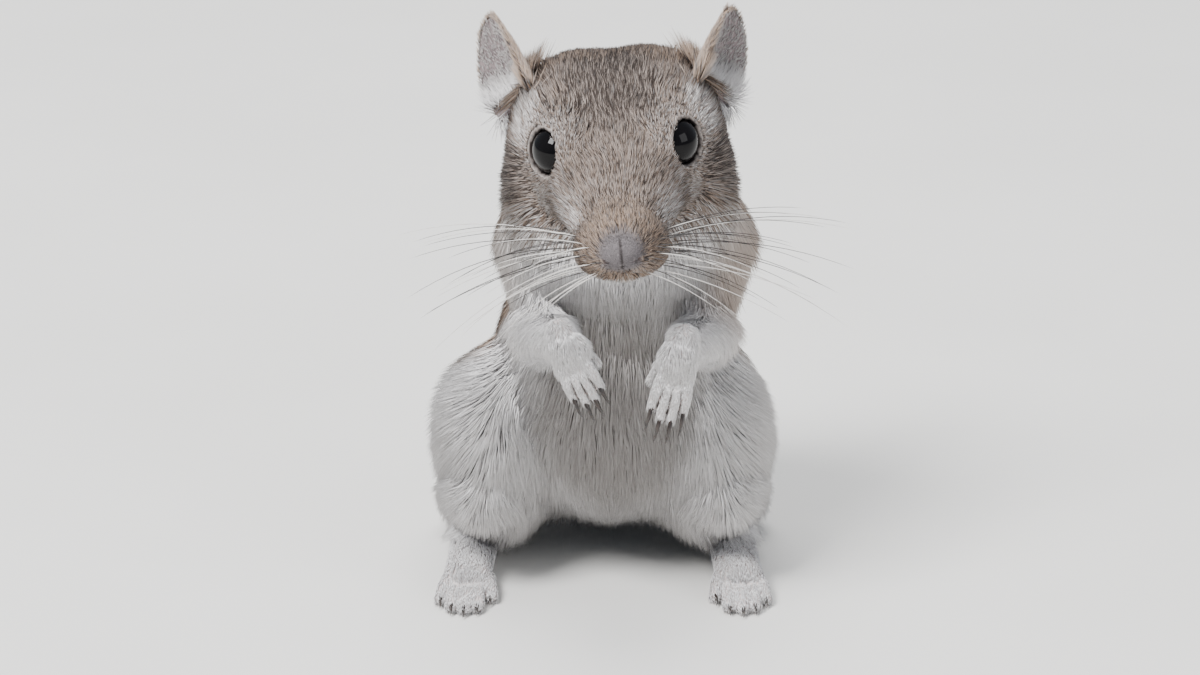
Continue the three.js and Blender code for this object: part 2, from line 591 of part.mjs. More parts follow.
// Ears: a crescent section carried from root to tip, which makes a thin cup open to the front and side
// The two ears are swivelled a little differently: lean is how far each leans out, turn how far its cup does.
const EARS = {
  right: { lean: 0.46, turn: 0.76, share: 1 },
  left: { lean: 0.6, turn: 0.88, share: 0.95 },
};
const EAR_ROOT = (s) => vec(s * 8.8, 10.8, -1.2);
function ear(name, s) {
  const { lean, turn, share } = EARS[name];
  const axis = vec(s * lean, 0.2, 0.95).normalize();
  const look = vec(s * turn, -0.62, 0.12);
  look.addScaledVector(axis, -look.dot(axis)).normalize();
  const across = vec(0, 0, 0).crossVectors(axis, look);
  const width = (u) => (EAR_WIDTH / 2) * Math.sin(Math.PI * Math.min(1, 0.12 + 0.88 * u)) ** 0.56;
  return solid(new ParametricGeometry(
    (u, v, target) => {
      const along = u <= 0 ? 0 : u >= 1 ? 1 : Math.sin((Math.PI / 2) * u);
      const angle = 2 * Math.PI * (v >= 1 ? 0 : v);
      const half = along <= 0 || along >= 1 ? 0 : width(along);
      const cup = mix(0.62, 0.3, along) * half;
      const round = Math.sign(Math.sin(angle)) * Math.abs(Math.sin(angle)) ** 0.6;
      const thick = half > 0 ? mix(0.85, 0.42, along) * round : 0;
      target.copy(EAR_ROOT(s)).addScaledVector(axis, (EAR_LENGTH * share + 1) * along - 1)
        .addScaledVector(across, half * Math.cos(angle))
        .addScaledVector(look, cup * Math.cos(angle) ** 2 + thick - 1.6 * along * along);
    },
    12,
    16,
  ));
}
const headSkinAround = (s) => solid(new FieldGeometry(
  (x, y, z) => {
    const p = fromHead(x, y, z);
    return flesh(p.x, p.y, p.z) - GAP;
  },
  stations(s > 0 ? 4 : -19, s > 0 ? 19 : -4, 1.8), stations(3, 20, 1.8), stations(-9, 12, 1.8)));
for (const { name, sign } of SIDES) {
  addNode(`ear_${name}`, toWorld(ear(name, sign).subtract(headSkinAround(sign))), EAR_SKIN);
}

// The origin is on the floor, at the middle of the whole footprint.
const middle = new THREE.Box3().setFromObject(parts).getCenter(vec(0, 0, 0));
parts.position.set(-middle.x, -middle.y, 0);
export default parts;
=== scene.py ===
"""Blender scene of a life-size gerbil that sits up on its haunches, for a museum shelf.

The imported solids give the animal's place and size. One skin replaces them: it is the surface of the same
smooth field of blended ellipsoids and round cones, drawn in by the depth of the coat. The coat is solid
mesh: tufts that root in the skin, follow the lie of the fur, and end near the solids' surface.

Lengths in the classes are millimetres in the animal's own frame, with +Z up, the animal looking along -Y,
and the origin on the floor under its ankles. Blender's meshes are in metres in the part's frame.
"""

import logging
import math
from dataclasses import dataclass, field
from enum import Enum
from typing import Callable, Sequence

import bpy
import numpy as np
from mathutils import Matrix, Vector


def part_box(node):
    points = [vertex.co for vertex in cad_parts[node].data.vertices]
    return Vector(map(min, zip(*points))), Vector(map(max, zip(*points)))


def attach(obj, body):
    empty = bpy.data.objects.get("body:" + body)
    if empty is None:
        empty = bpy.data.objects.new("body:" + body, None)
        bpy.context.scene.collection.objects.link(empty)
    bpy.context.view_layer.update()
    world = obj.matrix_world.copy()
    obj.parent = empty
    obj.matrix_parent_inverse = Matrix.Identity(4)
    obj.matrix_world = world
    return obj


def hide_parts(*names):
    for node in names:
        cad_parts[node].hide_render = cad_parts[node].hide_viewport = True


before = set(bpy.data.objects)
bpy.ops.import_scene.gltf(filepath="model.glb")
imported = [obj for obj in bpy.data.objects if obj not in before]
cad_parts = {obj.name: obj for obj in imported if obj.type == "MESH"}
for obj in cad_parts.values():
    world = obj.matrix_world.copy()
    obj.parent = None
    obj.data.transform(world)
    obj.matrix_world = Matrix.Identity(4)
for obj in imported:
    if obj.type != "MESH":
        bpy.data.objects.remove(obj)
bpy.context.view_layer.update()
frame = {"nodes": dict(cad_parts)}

logging.basicConfig(level=logging.INFO, format="%(name)s: %(message)s")
LOG = logging.getLogger("gerbil")

MM = 0.001
SEED = 1866
BODY = "root"
Array = np.ndarray
Field = Callable[[Array], Array]
Shape = tuple[Array, Array]


class Side(Enum):
    """One side of the animal, with the sign of its X."""

    RIGHT = -1
    LEFT = 1

    @property
    def sign(self) -> int:
        """Minus one on the animal's right, one on its left."""
        return self.value

    @property
    def word(self) -> str:
        """The side's name, as the solids' nodes use it."""
        return self.name.lower()


# Helpers on arrays of points


def unit(vectors: Array) -> Array:
    """Vectors of length one: an array divided by its own length along the last axis."""
    vectors = np.asarray(vectors, float)
    return vectors / np.maximum(np.linalg.norm(vectors, axis=-1, keepdims=True), 1e-12)


def smooth_step(low: float, high: float, values: Array) -> Array:
    """The cubic 3t^2 - 2t^3 of how far values are from low to high, held to 0..1."""
    t = np.clip((values - low) / (high - low), 0.0, 1.0)
    return t * t * (3.0 - 2.0 * t)


def smooth_min(a: Array, b: Array, k: float) -> Array:
    """The smaller of two distances, less a quarter of k times the square of their closeness."""
    h = np.maximum(k - np.abs(a - b), 0.0) / k
    return np.minimum(a, b) - h * h * k / 4.0


def blend(k: float, distances: Sequence[Array]) -> Array:
    """The smooth union of several distances, taken one after the other."""
    joined = distances[0]
    for distance in distances[1:]:
        joined = smooth_min(joined, distance, k)
    return joined


def carve(k: float, distance: Array, cutter: Array) -> Array:
    """A body with a cutter smoothly taken out of it: minus the smooth minimum of minus body and cutter."""
    return -smooth_min(-distance, cutter, k)


def rotation(x: float = 0.0, y: float = 0.0, z: float = 0.0) -> Array:
    """The matrix that turns column vectors about X, then Y, then Z, by degrees.

    Args:
        x: degrees about X.
        y: degrees about Y.
        z: degrees about Z.

    Returns:
        A 3 by 3 matrix.
    """
    cx, cy, cz = (math.cos(math.radians(a)) for a in (x, y, z))
    sx, sy, sz = (math.sin(math.radians(a)) for a in (x, y, z))
    about_x = np.array([[1, 0, 0], [0, cx, -sx], [0, sx, cx]])
    about_y = np.array([[cy, 0, sy], [0, 1, 0], [-sy, 0, cy]])
    about_z = np.array([[cz, -sz, 0], [sz, cz, 0], [0, 0, 1]])
    return about_z @ about_y @ about_x


def ellipsoid(
    p: Array, at: Sequence[float], radii: Sequence[float], pitch: float = 0.0, yaw: float = 0.0
) -> Array:
    """Distance to an ellipsoid, near its surface: k0 (k0 - 1) / k1.

    Here k0 is the length of the point over the radii, and k1 its length over the radii squared.

    Args:
        p: points, one row each.
        at: the centre.
        radii: the three half axes.
        pitch: degrees that it is turned about X.
        yaw: degrees that it is then turned about Z.

    Returns:
        One distance for each point, negative inside.
    """
    local = ((p - np.asarray(at)) @ rotation(x=pitch, z=yaw)) / np.asarray(radii)
    k0 = np.linalg.norm(local, axis=-1)
    k1 = np.linalg.norm(local / np.asarray(radii), axis=-1)
    return np.where(k1 > 1e-9, k0 * (k0 - 1.0) / np.maximum(k1, 1e-9), -min(radii))


def cone(p: Array, a: Sequence[float], b: Sequence[float], ra: float, rb: float) -> Array:
    """Distance to a ball that moves from one place to another as its radius changes evenly.

    Args:
        p: points, one row each.
        a: the first centre.
        b: the second centre.
        ra: radius at the first centre.
        rb: radius at the second centre.

    Returns:
        One distance for each point: from the nearest place of the middle line, less the radius there.
    """
    start = np.asarray(a, float)
    along = np.asarray(b, float) - start
    t = np.clip((p - start) @ along / (along @ along), 0.0, 1.0)
    return np.linalg.norm(p - start - t[..., None] * along, axis=-1) - (ra + (rb - ra) * t)


def chain(p: Array, points: Array, radii: Sequence[float]) -> Array:
    """The smallest of the distances to the cones that join a row of points."""
    pieces = [cone(p, points[i], points[i + 1], radii[i], radii[i + 1]) for i in range(len(points) - 1)]
    return np.minimum.reduce(pieces)


def curve_through(points: Array, count: int) -> Array:
    """A smooth curve through points, sampled evenly.

    Between two points it is the cubic whose slopes there are half the way between their neighbours
    (Catmull and Rom's), with the ends' neighbours mirrored.

    Args:
        points: the points to pass through.
        count: how many samples.

    Returns:
        An array of count points.
    """
    points = np.asarray(points, float)
    padded = np.vstack([2 * points[0] - points[1], points, 2 * points[-1] - points[-2]])
    u = np.linspace(0.0, len(points) - 1 - 1e-9, 40 * len(points))
    i, t = u.astype(int), (u - u.astype(int))[:, None]
    p0, p1, p2, p3 = (padded[i + k] for k in range(4))
    square, cube = 2 * p0 - 5 * p1 + 4 * p2 - p3, 3 * p1 - p0 - 3 * p2 + p3
    fine = 0.5 * (2 * p1 + (p2 - p0) * t + square * t**2 + cube * t**3)
    reach = np.concatenate([[0.0], np.cumsum(np.linalg.norm(np.diff(fine, axis=0), axis=1))])
    wanted = np.linspace(0.0, reach[-1], count)
    return np.stack([np.interp(wanted, reach, fine[:, k]) for k in range(3)], axis=1)


def slopes(points: Array) -> Array:
    """The unit direction of a row of points at each of them."""
    return unit(np.gradient(points, axis=0))


def slope_of(distance: Field, p: Array, step: float = 0.02) -> tuple[Array, Array]:
    """A field's gradient at points, by differences over a small step, and its value there."""
    here = distance(p)
    rises = [distance(p + step * np.eye(3)[axis]) - here for axis in range(3)]
    return np.stack(rises, axis=1) / step, here


def ripple(p: Array, size: float, seed: int) -> Array:
    """Soft noise in three channels, the sum of four sine waves in random directions for each channel.

    Args:
        p: points, one row each.
        size: the rough width of a wave.
        seed: picks the directions and phases.

    Returns:
        Three values of about -1..1 for each point.
    """
    rng = np.random.default_rng(seed)
    total = np.zeros((len(p), 3))
    for _ in range(4):
        waves = rng.normal(size=(3, 3)) * (2.2 / size)
        total += np.sin(p @ waves + rng.uniform(0, 2 * math.pi, 3))
    return total / 2.6


def stations(low: float, high: float, steps: Sequence[tuple[float, float]]) -> Array:
    """Grid places from low to high or just past it.

    Args:
        low: the first place.
        high: the last place is at this or just past it.
        steps: pairs of a limit and the step that holds below it, in rising order.

    Returns:
        The places, in rising order.
    """
    places = [low]
    while places[-1] < high:
        step = next(size for limit, size in steps if places[-1] < limit)
        places.append(places[-1] + step)
    return np.array(places)


def sample(distance: Field, xs: Array, ys: Array, zs: Array, layers: int = 8) -> Array:
    """A field's values over a grid of stations, worked out a few layers at a time, and one at its rim.

    Args:
        distance: the field, negative inside.
        xs: stations along X.
        ys: stations along Y.
        zs: stations along Z.
        layers: how many layers at a time.

    Returns:
        The values, with one in place of those at the grid's rim.
    """
    value = np.empty((len(xs), len(ys), len(zs)), np.float32)
    flat = np.stack(np.meshgrid(xs, ys, indexing="ij"), -1).reshape(-1, 2)
    for k in range(0, len(zs), layers):
        layer = zs[k : k + layers]
        across, up = np.repeat(flat, len(layer), axis=0), np.tile(layer, len(flat))[:, None]
        p = np.concatenate([across, up], axis=1).astype(np.float32)
        value[:, :, k : k + layers] = distance(p).reshape(len(xs), len(ys), len(layer))
    for axis in range(3):
        rim = [slice(None)] * 3
        rim[axis] = [0, -1]
        value[tuple(rim)] = 1.0
    return value


def surface_net(distance: Field, xs: Array, ys: Array, zs: Array) -> Shape:
    """The surface where a field is zero, drawn over a grid of stations.

    Each cell that the surface crosses gets one vertex, at the mean of the crossings on its twelve edges,
    and each grid edge that it crosses gets one quad, round the four cells that share the edge. The
    vertices then slide down the field's slope to the surface itself.

    Args:
        distance: the field, negative inside.
        xs: stations along X.
        ys: stations along Y.
        zs: stations along Z.

    Returns:
        The vertices and the quads, which face outwards.
    """
    value = sample(distance, xs, ys, zs)
    inside = value < 0
    cells = tuple(n - 1 for n in value.shape)
    count = np.zeros(cells, np.int8)
    for corner in np.ndindex(2, 2, 2):
        count += inside[tuple(slice(c, c + n) for c, n in zip(corner, cells))]
    i, j, k = np.nonzero((count > 0) & (count < 8))
    total, crossings = np.zeros((len(i), 3)), np.zeros(len(i))
    places = (xs, ys, zs)
    for axis in range(3):
        for a, b in np.ndindex(2, 2):
            start = [a, b]
            start.insert(axis, 0)
            end = list(start)
            end[axis] = 1
            at = [base + offset for base, offset in zip((i, j, k), start)]
            to = [base + offset for base, offset in zip((i, j, k), end)]
            va, vb = value[tuple(at)], value[tuple(to)]
            crossed = (va < 0) != (vb < 0)
            t = np.where(crossed, va / np.where(crossed, va - vb, 1.0), 0.0)
            here = [places[m][at[m]] + t * (places[m][to[m]] - places[m][at[m]]) for m in range(3)]
            total += np.stack(here, axis=1) * crossed[:, None]
            crossings += crossed
    vertices = total / crossings[:, None]
    number = np.full(cells, -1, np.int64)
    number[i, j, k] = np.arange(len(i))
    quads = []
    for axis in range(3):
        head, tail = [slice(None)] * 3, [slice(None)] * 3
        head[axis], tail[axis] = slice(1, None), slice(None, -1)
        crossing = np.argwhere(inside[tuple(tail)] != inside[tuple(head)])
        u, v = (axis + 1) % 3, (axis + 2) % 3
        crossing = crossing[(crossing[:, u] > 0) & (crossing[:, v] > 0)]
        step_u, step_v = np.eye(3, dtype=int)[u], np.eye(3, dtype=int)[v]
        ring = [crossing, crossing - step_u, crossing - step_u - step_v, crossing - step_v]
        quad = np.stack([number[tuple(r.T)] for r in ring], axis=1)
        outward = inside[tuple(crossing.T)]
        quads.append(np.where(outward[:, None], quad, quad[:, ::-1]))
    for _ in range(2):
        gradient, here = slope_of(distance, vertices)
        move = gradient * (here / np.maximum((gradient**2).sum(1), 0.2))[:, None]
        vertices -= np.clip(move, -0.3, 0.3)
    return vertices, np.concatenate(quads)


def grid_quads(rows: int, around: int) -> Array:
    """The quads between rings of points, row after row, each ring closed."""
    i, j = np.meshgrid(np.arange(rows - 1), np.arange(around), indexing="ij")
    first, second = i * around + j, i * around + (j + 1) % around
    return np.stack([first, first + around, second + around, second], axis=-1).reshape(-1, 4)


# The forms that the flesh is made of


@dataclass(frozen=True)
class Lump:
    """An ellipsoid of flesh, alone or one on each side.

    Attributes:
        at: its centre, with X outwards where there are two.
        radii: its half axes.
        pitch: degrees that it is turned about X.
        yaw: degrees that it is then turned outwards about Z.
    """

    at: tuple[float, float, float]
    radii: tuple[float, float, float]
    pitch: float = 0.0
    yaw: float = 0.0

    def of(self, p: Array) -> Array:
        """Distance to it, where there is only one."""
        return ellipsoid(p, self.at, self.radii, self.pitch, self.yaw)

    def on(self, p: Array, side: Side, middle: float = 0.0) -> Array:
        """Distance to the one on a side of the middle."""
        x, y, z = self.at
        return ellipsoid(p, [middle + side.sign * x, y, z], self.radii, self.pitch, side.sign * self.yaw)

    def pair(self, p: Array) -> list[Array]:
        """Distances to both, the right one first."""
        return [self.on(p, side) for side in Side]


@dataclass(frozen=True)
class Rod:
    """A round cone of flesh, alone or one on each side.

    Attributes:
        start: the first centre, with X outwards where there are two.
        end: the second centre.
        thick: radius at the first centre.
        thin: radius at the second centre.
    """

    start: tuple[float, float, float]
    end: tuple[float, float, float]
    thick: float
    thin: float

    def of(self, p: Array, sign: int = 1) -> Array:
        """Distance to it, or to its mirror image where the sign is minus one."""
        mirror = np.array([sign, 1, 1])
        return cone(p, self.start * mirror, self.end * mirror, self.thick, self.thin)

    def pair(self, p: Array) -> list[Array]:
        """Distances to both, the right one first."""
        return [self.of(p, side.sign) for side in Side]


@dataclass(frozen=True)
class Patch:
    """A soft round patch of a marking or of painted shade: its strength at its middle, falling smoothly to
    zero at its radii.
    """

    at: tuple[float, float, float]
    radii: tuple[float, float, float]
    strength: float = 1.0

    def of(self, q: Array) -> Array:
        """The patch's strength at points."""
        away = np.linalg.norm((q - np.asarray(self.at)) / np.asarray(self.radii), axis=1)
        return self.strength * (1 - smooth_step(0.35, 1.0, away))


# The animal's measures


@dataclass(frozen=True)
class Frame:
    """The animal's own frame, its head's frame, and the part's frame in metres."""

    eye_line: float = 57.0
    eye_forward: float = 12.0
    head_side: float = -0.6
    head_pitch: float = 9.0
    head_roll: float = -4.5
    eye_local: tuple[float, float, float] = (6.7, 0.2, 0.3)
    ear_local: tuple[float, float, float] = (8.8, 10.8, -1.2)
    ear_way: tuple[float, float, float] = (0.5, 0.2, 0.95)

    @property
    def head_turn(self) -> Array:
        """The head's turn: its nod about X, then its roll about Y."""
        return rotation(y=self.head_roll) @ rotation(x=self.head_pitch)

    @property
    def head_origin(self) -> Array:
        """The middle between the eyes."""
        return np.array([self.head_side, -self.eye_forward, self.eye_line])

    def from_head(self, p: Array) -> Array:
        """Points of the head's frame, in the animal's."""
        return np.asarray(p, float) @ self.head_turn.T + self.head_origin

    def to_head(self, p: Array) -> Array:
        """Points of the animal's frame, in the head's."""
        return (p - self.head_origin) @ self.head_turn

    def eye(self, side: Side) -> Array:
        """An eye's centre in the head's frame."""
        x, y, z = self.eye_local
        return np.array([side.sign * x, y, z])

    def eye_distance(self, q: Array) -> Array:
        """How far points of the head's frame are from the nearest eye's centre."""
        return np.minimum.reduce([np.linalg.norm(q - self.eye(side), axis=1) for side in Side])

    def ear_root(self, side: Side) -> tuple[Array, Array]:
        """The middle of an ear's root and the ear's rough axis, in the head's frame."""
        mirror = np.array([side.sign, 1, 1])
        return self.ear_local * mirror, unit(self.ear_way * mirror)

    def shift(self) -> Array:
        """Where the animal's origin is in the part's frame, from the solids of its eyes."""
        gaps = []
        for side in Side:
            low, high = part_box(f"eye_{side.word}")
            gaps.append((np.array(low) + np.array(high)) / (2 * MM) - self.from_head(self.eye(side)))
        return np.mean(gaps, axis=0) * np.array([1.0, 1.0, 0.0])


@dataclass(frozen=True)
class Arm:
    """One foreleg: its joints, how far its paw swings inwards in degrees, and its paw's relative size."""

    shoulder: tuple[float, float, float]
    elbow: tuple[float, float, float]
    wrist: tuple[float, float, float]
    swing: float
    size: float


@dataclass(frozen=True)
class Pelt:
    """The fur of one stretch of the body.

    Attributes:
        length: a hair's length.
        depth: how far its tips stand off the skin.
        density: tufts on each square millimetre.
        width: a tuft's width.
    """

    length: float
    depth: float
    density: float
    width: float


@dataclass(frozen=True)
class Zone:
    """A stretch of the body with its own coat: its name, its field, the way its fur lies, and its pelt."""

    name: str
    distance: Field
    lie: Field
    pelt: Pelt


# The animal's flesh


@dataclass
class Anatomy:
    """The flesh as fields: what the solids are made of, and the skin under the coat."""

    frame: Frame = field(default_factory=Frame)
    trunk_side: float = -2.0
    nose_reach: float = 16.0
    nose_drop: float = 6.0
    eye_radius: float = 3.05
    gaze: float = 53.0
    tail_length: float = 96.0
    tail_radii: tuple[float, float] = (3.1, 1.9)
    arms: dict[Side, Arm] = field(
        default_factory=lambda: {
            Side.RIGHT: Arm((-8.8, -1, 42), (-9.4, -9, 33.6), (-6.4, -19.4, 35.2), 24.0, 1.0),
            Side.LEFT: Arm((10.2, -1, 42), (10.4, -9, 33.4), (6.9, -19.6, 34.2), -12.0, 1.12),
        }
    )

    # The head's forms, in the head's frame.
    CROWN = Lump((0, 9.5, -1.2), (12.4, 12.5, 8.4))
    CORNERS = Lump((4.8, 10, -0.2), (6.6, 9.6, 7.6))
    FOREHEAD = Lump((0, 0.5, -2.6), (8.4, 10, 6.9), pitch=16)
    CHEEKS = Lump((5.6, 8.2, -6.2), (8.2, 9.2, 7.6))
    BROWS = Lump((6.2, 0.4, 0.2), (3.5, 3.9, 3.7))
    BRIDGE = Rod((0, -2, -3.6), (0, -12.4, -5.8), 6.1, 3.5)
    PADS = Lump((2.7, -10.6, -7.9), (2.8, 3.7, 2.8))
    MUZZLE = Rod((2, -9, -7), (4.4, -1, -4.6), 2.6, 4.6)
    JAW = Rod((0, -8.6, -10.8), (0, 4, -11), 2.3, 5.2)
    NOSE = Lump((0, -14.2, -6.1), (2.35, 1.75, 1.9))
    SLIT = Lump((1.9, -15.1, -7.1), (0.5, 1.3, 0.42), yaw=38)
    GROOVE = Rod((0, -16.2, -6.6), (0, -14.7, -9.0), 0.22, 0.2)
    NOSTRIL = (1.9, 15.2, 7.1)
    MOUTH_POINTS = 13

    # The body's forms.
    NECK = Lump((0.2, 0.5, 46), (14.4, 12.5, 10.5), pitch=-20)
    SHOULDERS = Lump((0.5, 1, 41), (14.4, 12.8, 10.5))
    CHEST = Lump((0.8, 5.5, 37), (13.7, 14.8, 13), pitch=-12)
    BELLY = Lump((-0.8, 6.5, 21.5), (15.7, 19.5, 16))
    RUMP = Lump((0, 14, 14.5), (15.5, 13, 11.5))
    THIGH = Lump((12.2, 3.2, 15.6), (8.6, 15, 12), pitch=-14, yaw=8)

    # How far ahead each toe and finger reaches, and how far aside.
    TOES = ((4.6, -2.3), (7.6, -1.25), (8.4, -0.1), (7.7, 1.05), (5.6, 2.1))
    TOE_RADII = (0.95, 0.85, 0.72)
    FINGERS = ((6.2, -1.2), (7.2, -0.42), (7.2, 0.42), (6.1, 1.2))
    FINGER_RADII = (0.62, 0.6, 0.48)

    def __post_init__(self) -> None:
        """Works out the tail's middle line."""
        x, end = self.trunk_side, 22 + self.tail_length
        self.tail_points = np.array(
            [[x, 22, 8.5], [x, 29, 4.2], [x + 1, 38, 2.55], [x + 4.5, 56, 2.25], [x + 4, 78, 2.0]]
            + [[x - 1, 98, 1.75], [x - 5, end, 1.6]]
        )

    def look(self, side: Side) -> Array:
        """The direction that an eye faces, in the head's frame."""
        turn = math.radians(self.gaze)
        return unit(np.array([side.sign * math.sin(turn), -math.cos(turn), 0.2]))

    def skull(self, q: Array) -> Array:
        """Crown, forehead and cheeks, in the head's frame."""
        upper = [self.CROWN.of(q), *self.CORNERS.pair(q), self.FOREHEAD.of(q)]
        return blend(3.5, upper + self.CHEEKS.pair(q))

    def snout(self, q: Array) -> Array:
        """Bridge, muzzle, whisker pads and jaw, in the head's frame."""
        tip = cone(q, [0, -12, -5.6], [0, -(self.nose_reach - 2.3), -self.nose_drop], 2.9, 2.35)
        sides = [*self.PADS.pair(q), *self.MUZZLE.pair(q)]
        return blend(2.2, [self.BRIDGE.of(q), tip, *sides, self.JAW.of(q)])

    def head(self, q: Array) -> Array:
        """The whole head with its brows, in the head's frame."""
        return blend(1.6, [blend(2.6, [self.skull(q), self.snout(q)]), *self.BROWS.pair(q)])

    def neck(self, p: Array) -> Array:
        """Neck and shoulders."""
        return smooth_min(self.NECK.of(p), self.SHOULDERS.of(p), 5)

    def trunk(self, p: Array) -> Array:
        """Chest, belly and rump."""
        rump = self.RUMP.on(p, Side.LEFT, self.trunk_side)
        return smooth_min(smooth_min(self.CHEST.of(p), self.BELLY.of(p), 10), rump, 7)

    def thigh(self, p: Array, side: Side) -> Array:
        """One haunch."""
        return self.THIGH.on(p, side, self.trunk_side)

    def knee(self, side: Side) -> Array:
        """Centre of one knee."""
        return np.array([self.trunk_side + side.sign * 14.6, -7.5, 12.5])

    def ankle(self, side: Side) -> Array:
        """Centre of one ankle."""
        return np.array([self.trunk_side + side.sign * 15.4, 10.5, 4.4])

    def toe_root(self, side: Side) -> Array:
        """Where one foot's toes begin."""
        return np.array([self.trunk_side + side.sign * 16.4, -8.2, 1.9])

    def shank(self, p: Array, side: Side) -> Array:
        """One lower leg."""
        return cone(p, self.knee(side), self.ankle(side), 5.2, 3.4)

    def upper_arm(self, p: Array, side: Side) -> Array:
        """One upper arm."""
        arm = self.arms[side]
        return cone(p, arm.shoulder, arm.elbow, 6.2, 3.6)

    def forearm(self, p: Array, side: Side, inset: float = 0.0) -> Array:
        """One forearm, drawn in by an inset."""
        arm = self.arms[side]
        return cone(p, arm.elbow, arm.wrist, 3.5 - 1.6 * inset, 2.2 - inset)

    def foot_axes(self, side: Side) -> tuple[Array, Array, Array]:
        """A foot's heel, its way ahead and its way outwards."""
        heel = self.ankle(side) + np.array([0, 2, -2.4])
        ahead = unit((self.toe_root(side) - heel) * np.array([1, 1, 0]))
        return heel, ahead, np.array([-ahead[1], ahead[0], 0.0]) * side.sign

    def toe_line(self, side: Side, reach: float, spread: float) -> Array:
        """A toe's root, knuckle and tip.

        Args:
            side: which side.
            reach: how far ahead it reaches.
            spread: how far aside it stands.

        Returns:
            Three points, one row each.
        """
        _, ahead, across = self.foot_axes(side)
        start = self.toe_root(side) + across * spread * 0.95
        tip = self.toe_root(side) + ahead * reach + across * spread * 1.35
        start[2], tip[2] = 1.1, 0.75
        middle = start + (tip - start) * 0.55
        middle[2] = 1.3
        return np.array([start, middle, tip])

    def foot(self, p: Array, side: Side) -> Array:
        """One hind foot with its toes, a rounded body pressed flat where it meets the floor.

        Args:
            p: points of the animal's frame, one row each.
            side: which side.

        Returns:
            One distance for each point.
        """
        heel, ahead, _ = self.foot_axes(side)
        root = self.toe_root(side)
        line = np.array([heel, (heel + root) / 2, root + ahead * 1.0])
        sole = chain(p * np.array([1, 1, 1.35]), line * np.array([1, 1, 1.2]), np.array([2.35, 2.6, 2.75]))
        rise = cone(p, heel + np.array([0, 0, 0.6]), self.ankle(side) + np.array([0, -0.4, 2.0]), 2.4, 2.5)
        toes = [chain(p, self.toe_line(side, *toe), self.TOE_RADII) for toe in self.TOES]
        whole = smooth_min(blend(1.0, [sole, rise]), np.minimum.reduce(toes), 0.5)
        return np.maximum(whole, 0.12 - p[:, 2])

    def paw_axes(self, side: Side) -> tuple[Array, Array]:
        """A forepaw's way down its fingers and its way across them."""
        swing = math.radians(self.arms[side].swing)
        down = unit(np.array([math.sin(swing), -0.1, -math.cos(swing)]))
        return down, np.array([math.cos(swing), 0.0, math.sin(swing)])

    def paw_point(self, side: Side, along: float, aside: float, behind: float = 0.0) -> Array:
        """A point of a forepaw, so far from the wrist, aside and behind."""
        down, across = self.paw_axes(side)
        arm = self.arms[side]
        return np.asarray(arm.wrist) + (down * along + across * aside) * arm.size + np.array([0, behind, 0])

    def finger_line(self, side: Side, reach: float, spread: float) -> Array:
        """A finger's root, knuckle and tip."""
        places = ((1.6, spread * 0.95, -0.6), (reach * 0.65, spread * 1.3, -0.75), (reach, spread * 1.4, 0.1))
        return np.array([self.paw_point(side, *place) for place in places])

    def fingers(self, p: Array, side: Side) -> list[Array]:
        """Distances to a forepaw's four fingers."""
        return [chain(p, self.finger_line(side, *finger), self.FINGER_RADII) for finger in self.FINGERS]

    def paw(self, p: Array, side: Side) -> Array:
        """One forepaw with its fingers and its small thumb.

        Args:
            p: points of the animal's frame, one row each.
            side: which side.

        Returns:
            One distance for each point.
        """
        arm = self.arms[side]
        size = arm.size
        turned = (p - self.paw_point(side, 1.7, 0)) @ rotation(y=-arm.swing).T
        palm = ellipsoid(turned, [0, 0, 0], [1.75 * size, 1.25 * size, 2.8 * size])
        thick = 1.5 * size
        wrist = cone(p, self.paw_point(side, -1.5, 0, 0.8), self.paw_point(side, 1.0, 0), thick, thick)
        inner = -side.sign
        root, tip = self.paw_point(side, 1.4, inner * 1.6, 0.6), self.paw_point(side, 3.6, inner * 2.3, 1.0)
        thumb = cone(p, root, tip, 0.6, 0.45)
        knuckles = smooth_min(np.minimum.reduce(self.fingers(p, side)), thumb, 0.2)
        return smooth_min(smooth_min(palm, wrist, 1.2), knuckles, 0.2)

    def finger_groove_shade(self, p: Array, side: Side) -> Array:
        """One in the grooves between a forepaw's fingers, where two of them are equally near, for the shade
        painted there.

        Args:
            p: points of the animal's frame, one row each.
            side: which side.

        Returns:
            A value from 0 to 1 for each point.
        """
        nearest, second = np.sort(np.stack(self.fingers(p, side)), axis=0)[:2]
        down, _ = self.paw_axes(side)
        past = smooth_step(3.0, 4.6, (p - np.asarray(self.arms[side].wrist)) @ down)
        return past * (1 - smooth_step(0.05, 0.32, second - nearest)) * (1 - smooth_step(0.3, 0.8, nearest))

    def tail_at(self, count: int) -> tuple[Array, Array]:
        """Points along the tail's middle line and the radius of its flesh and coat there."""
        line = curve_through(self.tail_points, count)
        t = np.minimum(1.0, np.linspace(0, 1, count) * 1.3)
        return line, self.tail_radii[0] + (self.tail_radii[1] - self.tail_radii[0]) * t

    def tail_root(self, p: Array, inset: float = 0.0) -> Array:
        """The tail's first stretch, drawn in by an inset."""
        line, radii = self.tail_at(60)
        return chain(p, line[:14:3], radii[:14:3] - inset)

    def flesh(self, p: Array) -> Array:
        """The solids' outer shape without tail, paws and feet, its limbs blended more softly.

        Args:
            p: points of the animal's frame, one row each.

        Returns:
            One distance for each point.
        """
        body = smooth_min(self.trunk(p), self.neck(p), 5.5)
        legs = [smooth_min(self.thigh(p, s), self.shank(p, s), 2.6) for s in Side]
        arms = [self.upper_arm(p, s) for s in Side]
        return smooth_min(blend(3.4, [blend(5, [body, *legs]), *arms]), self.head(self.frame.to_head(p)), 4)

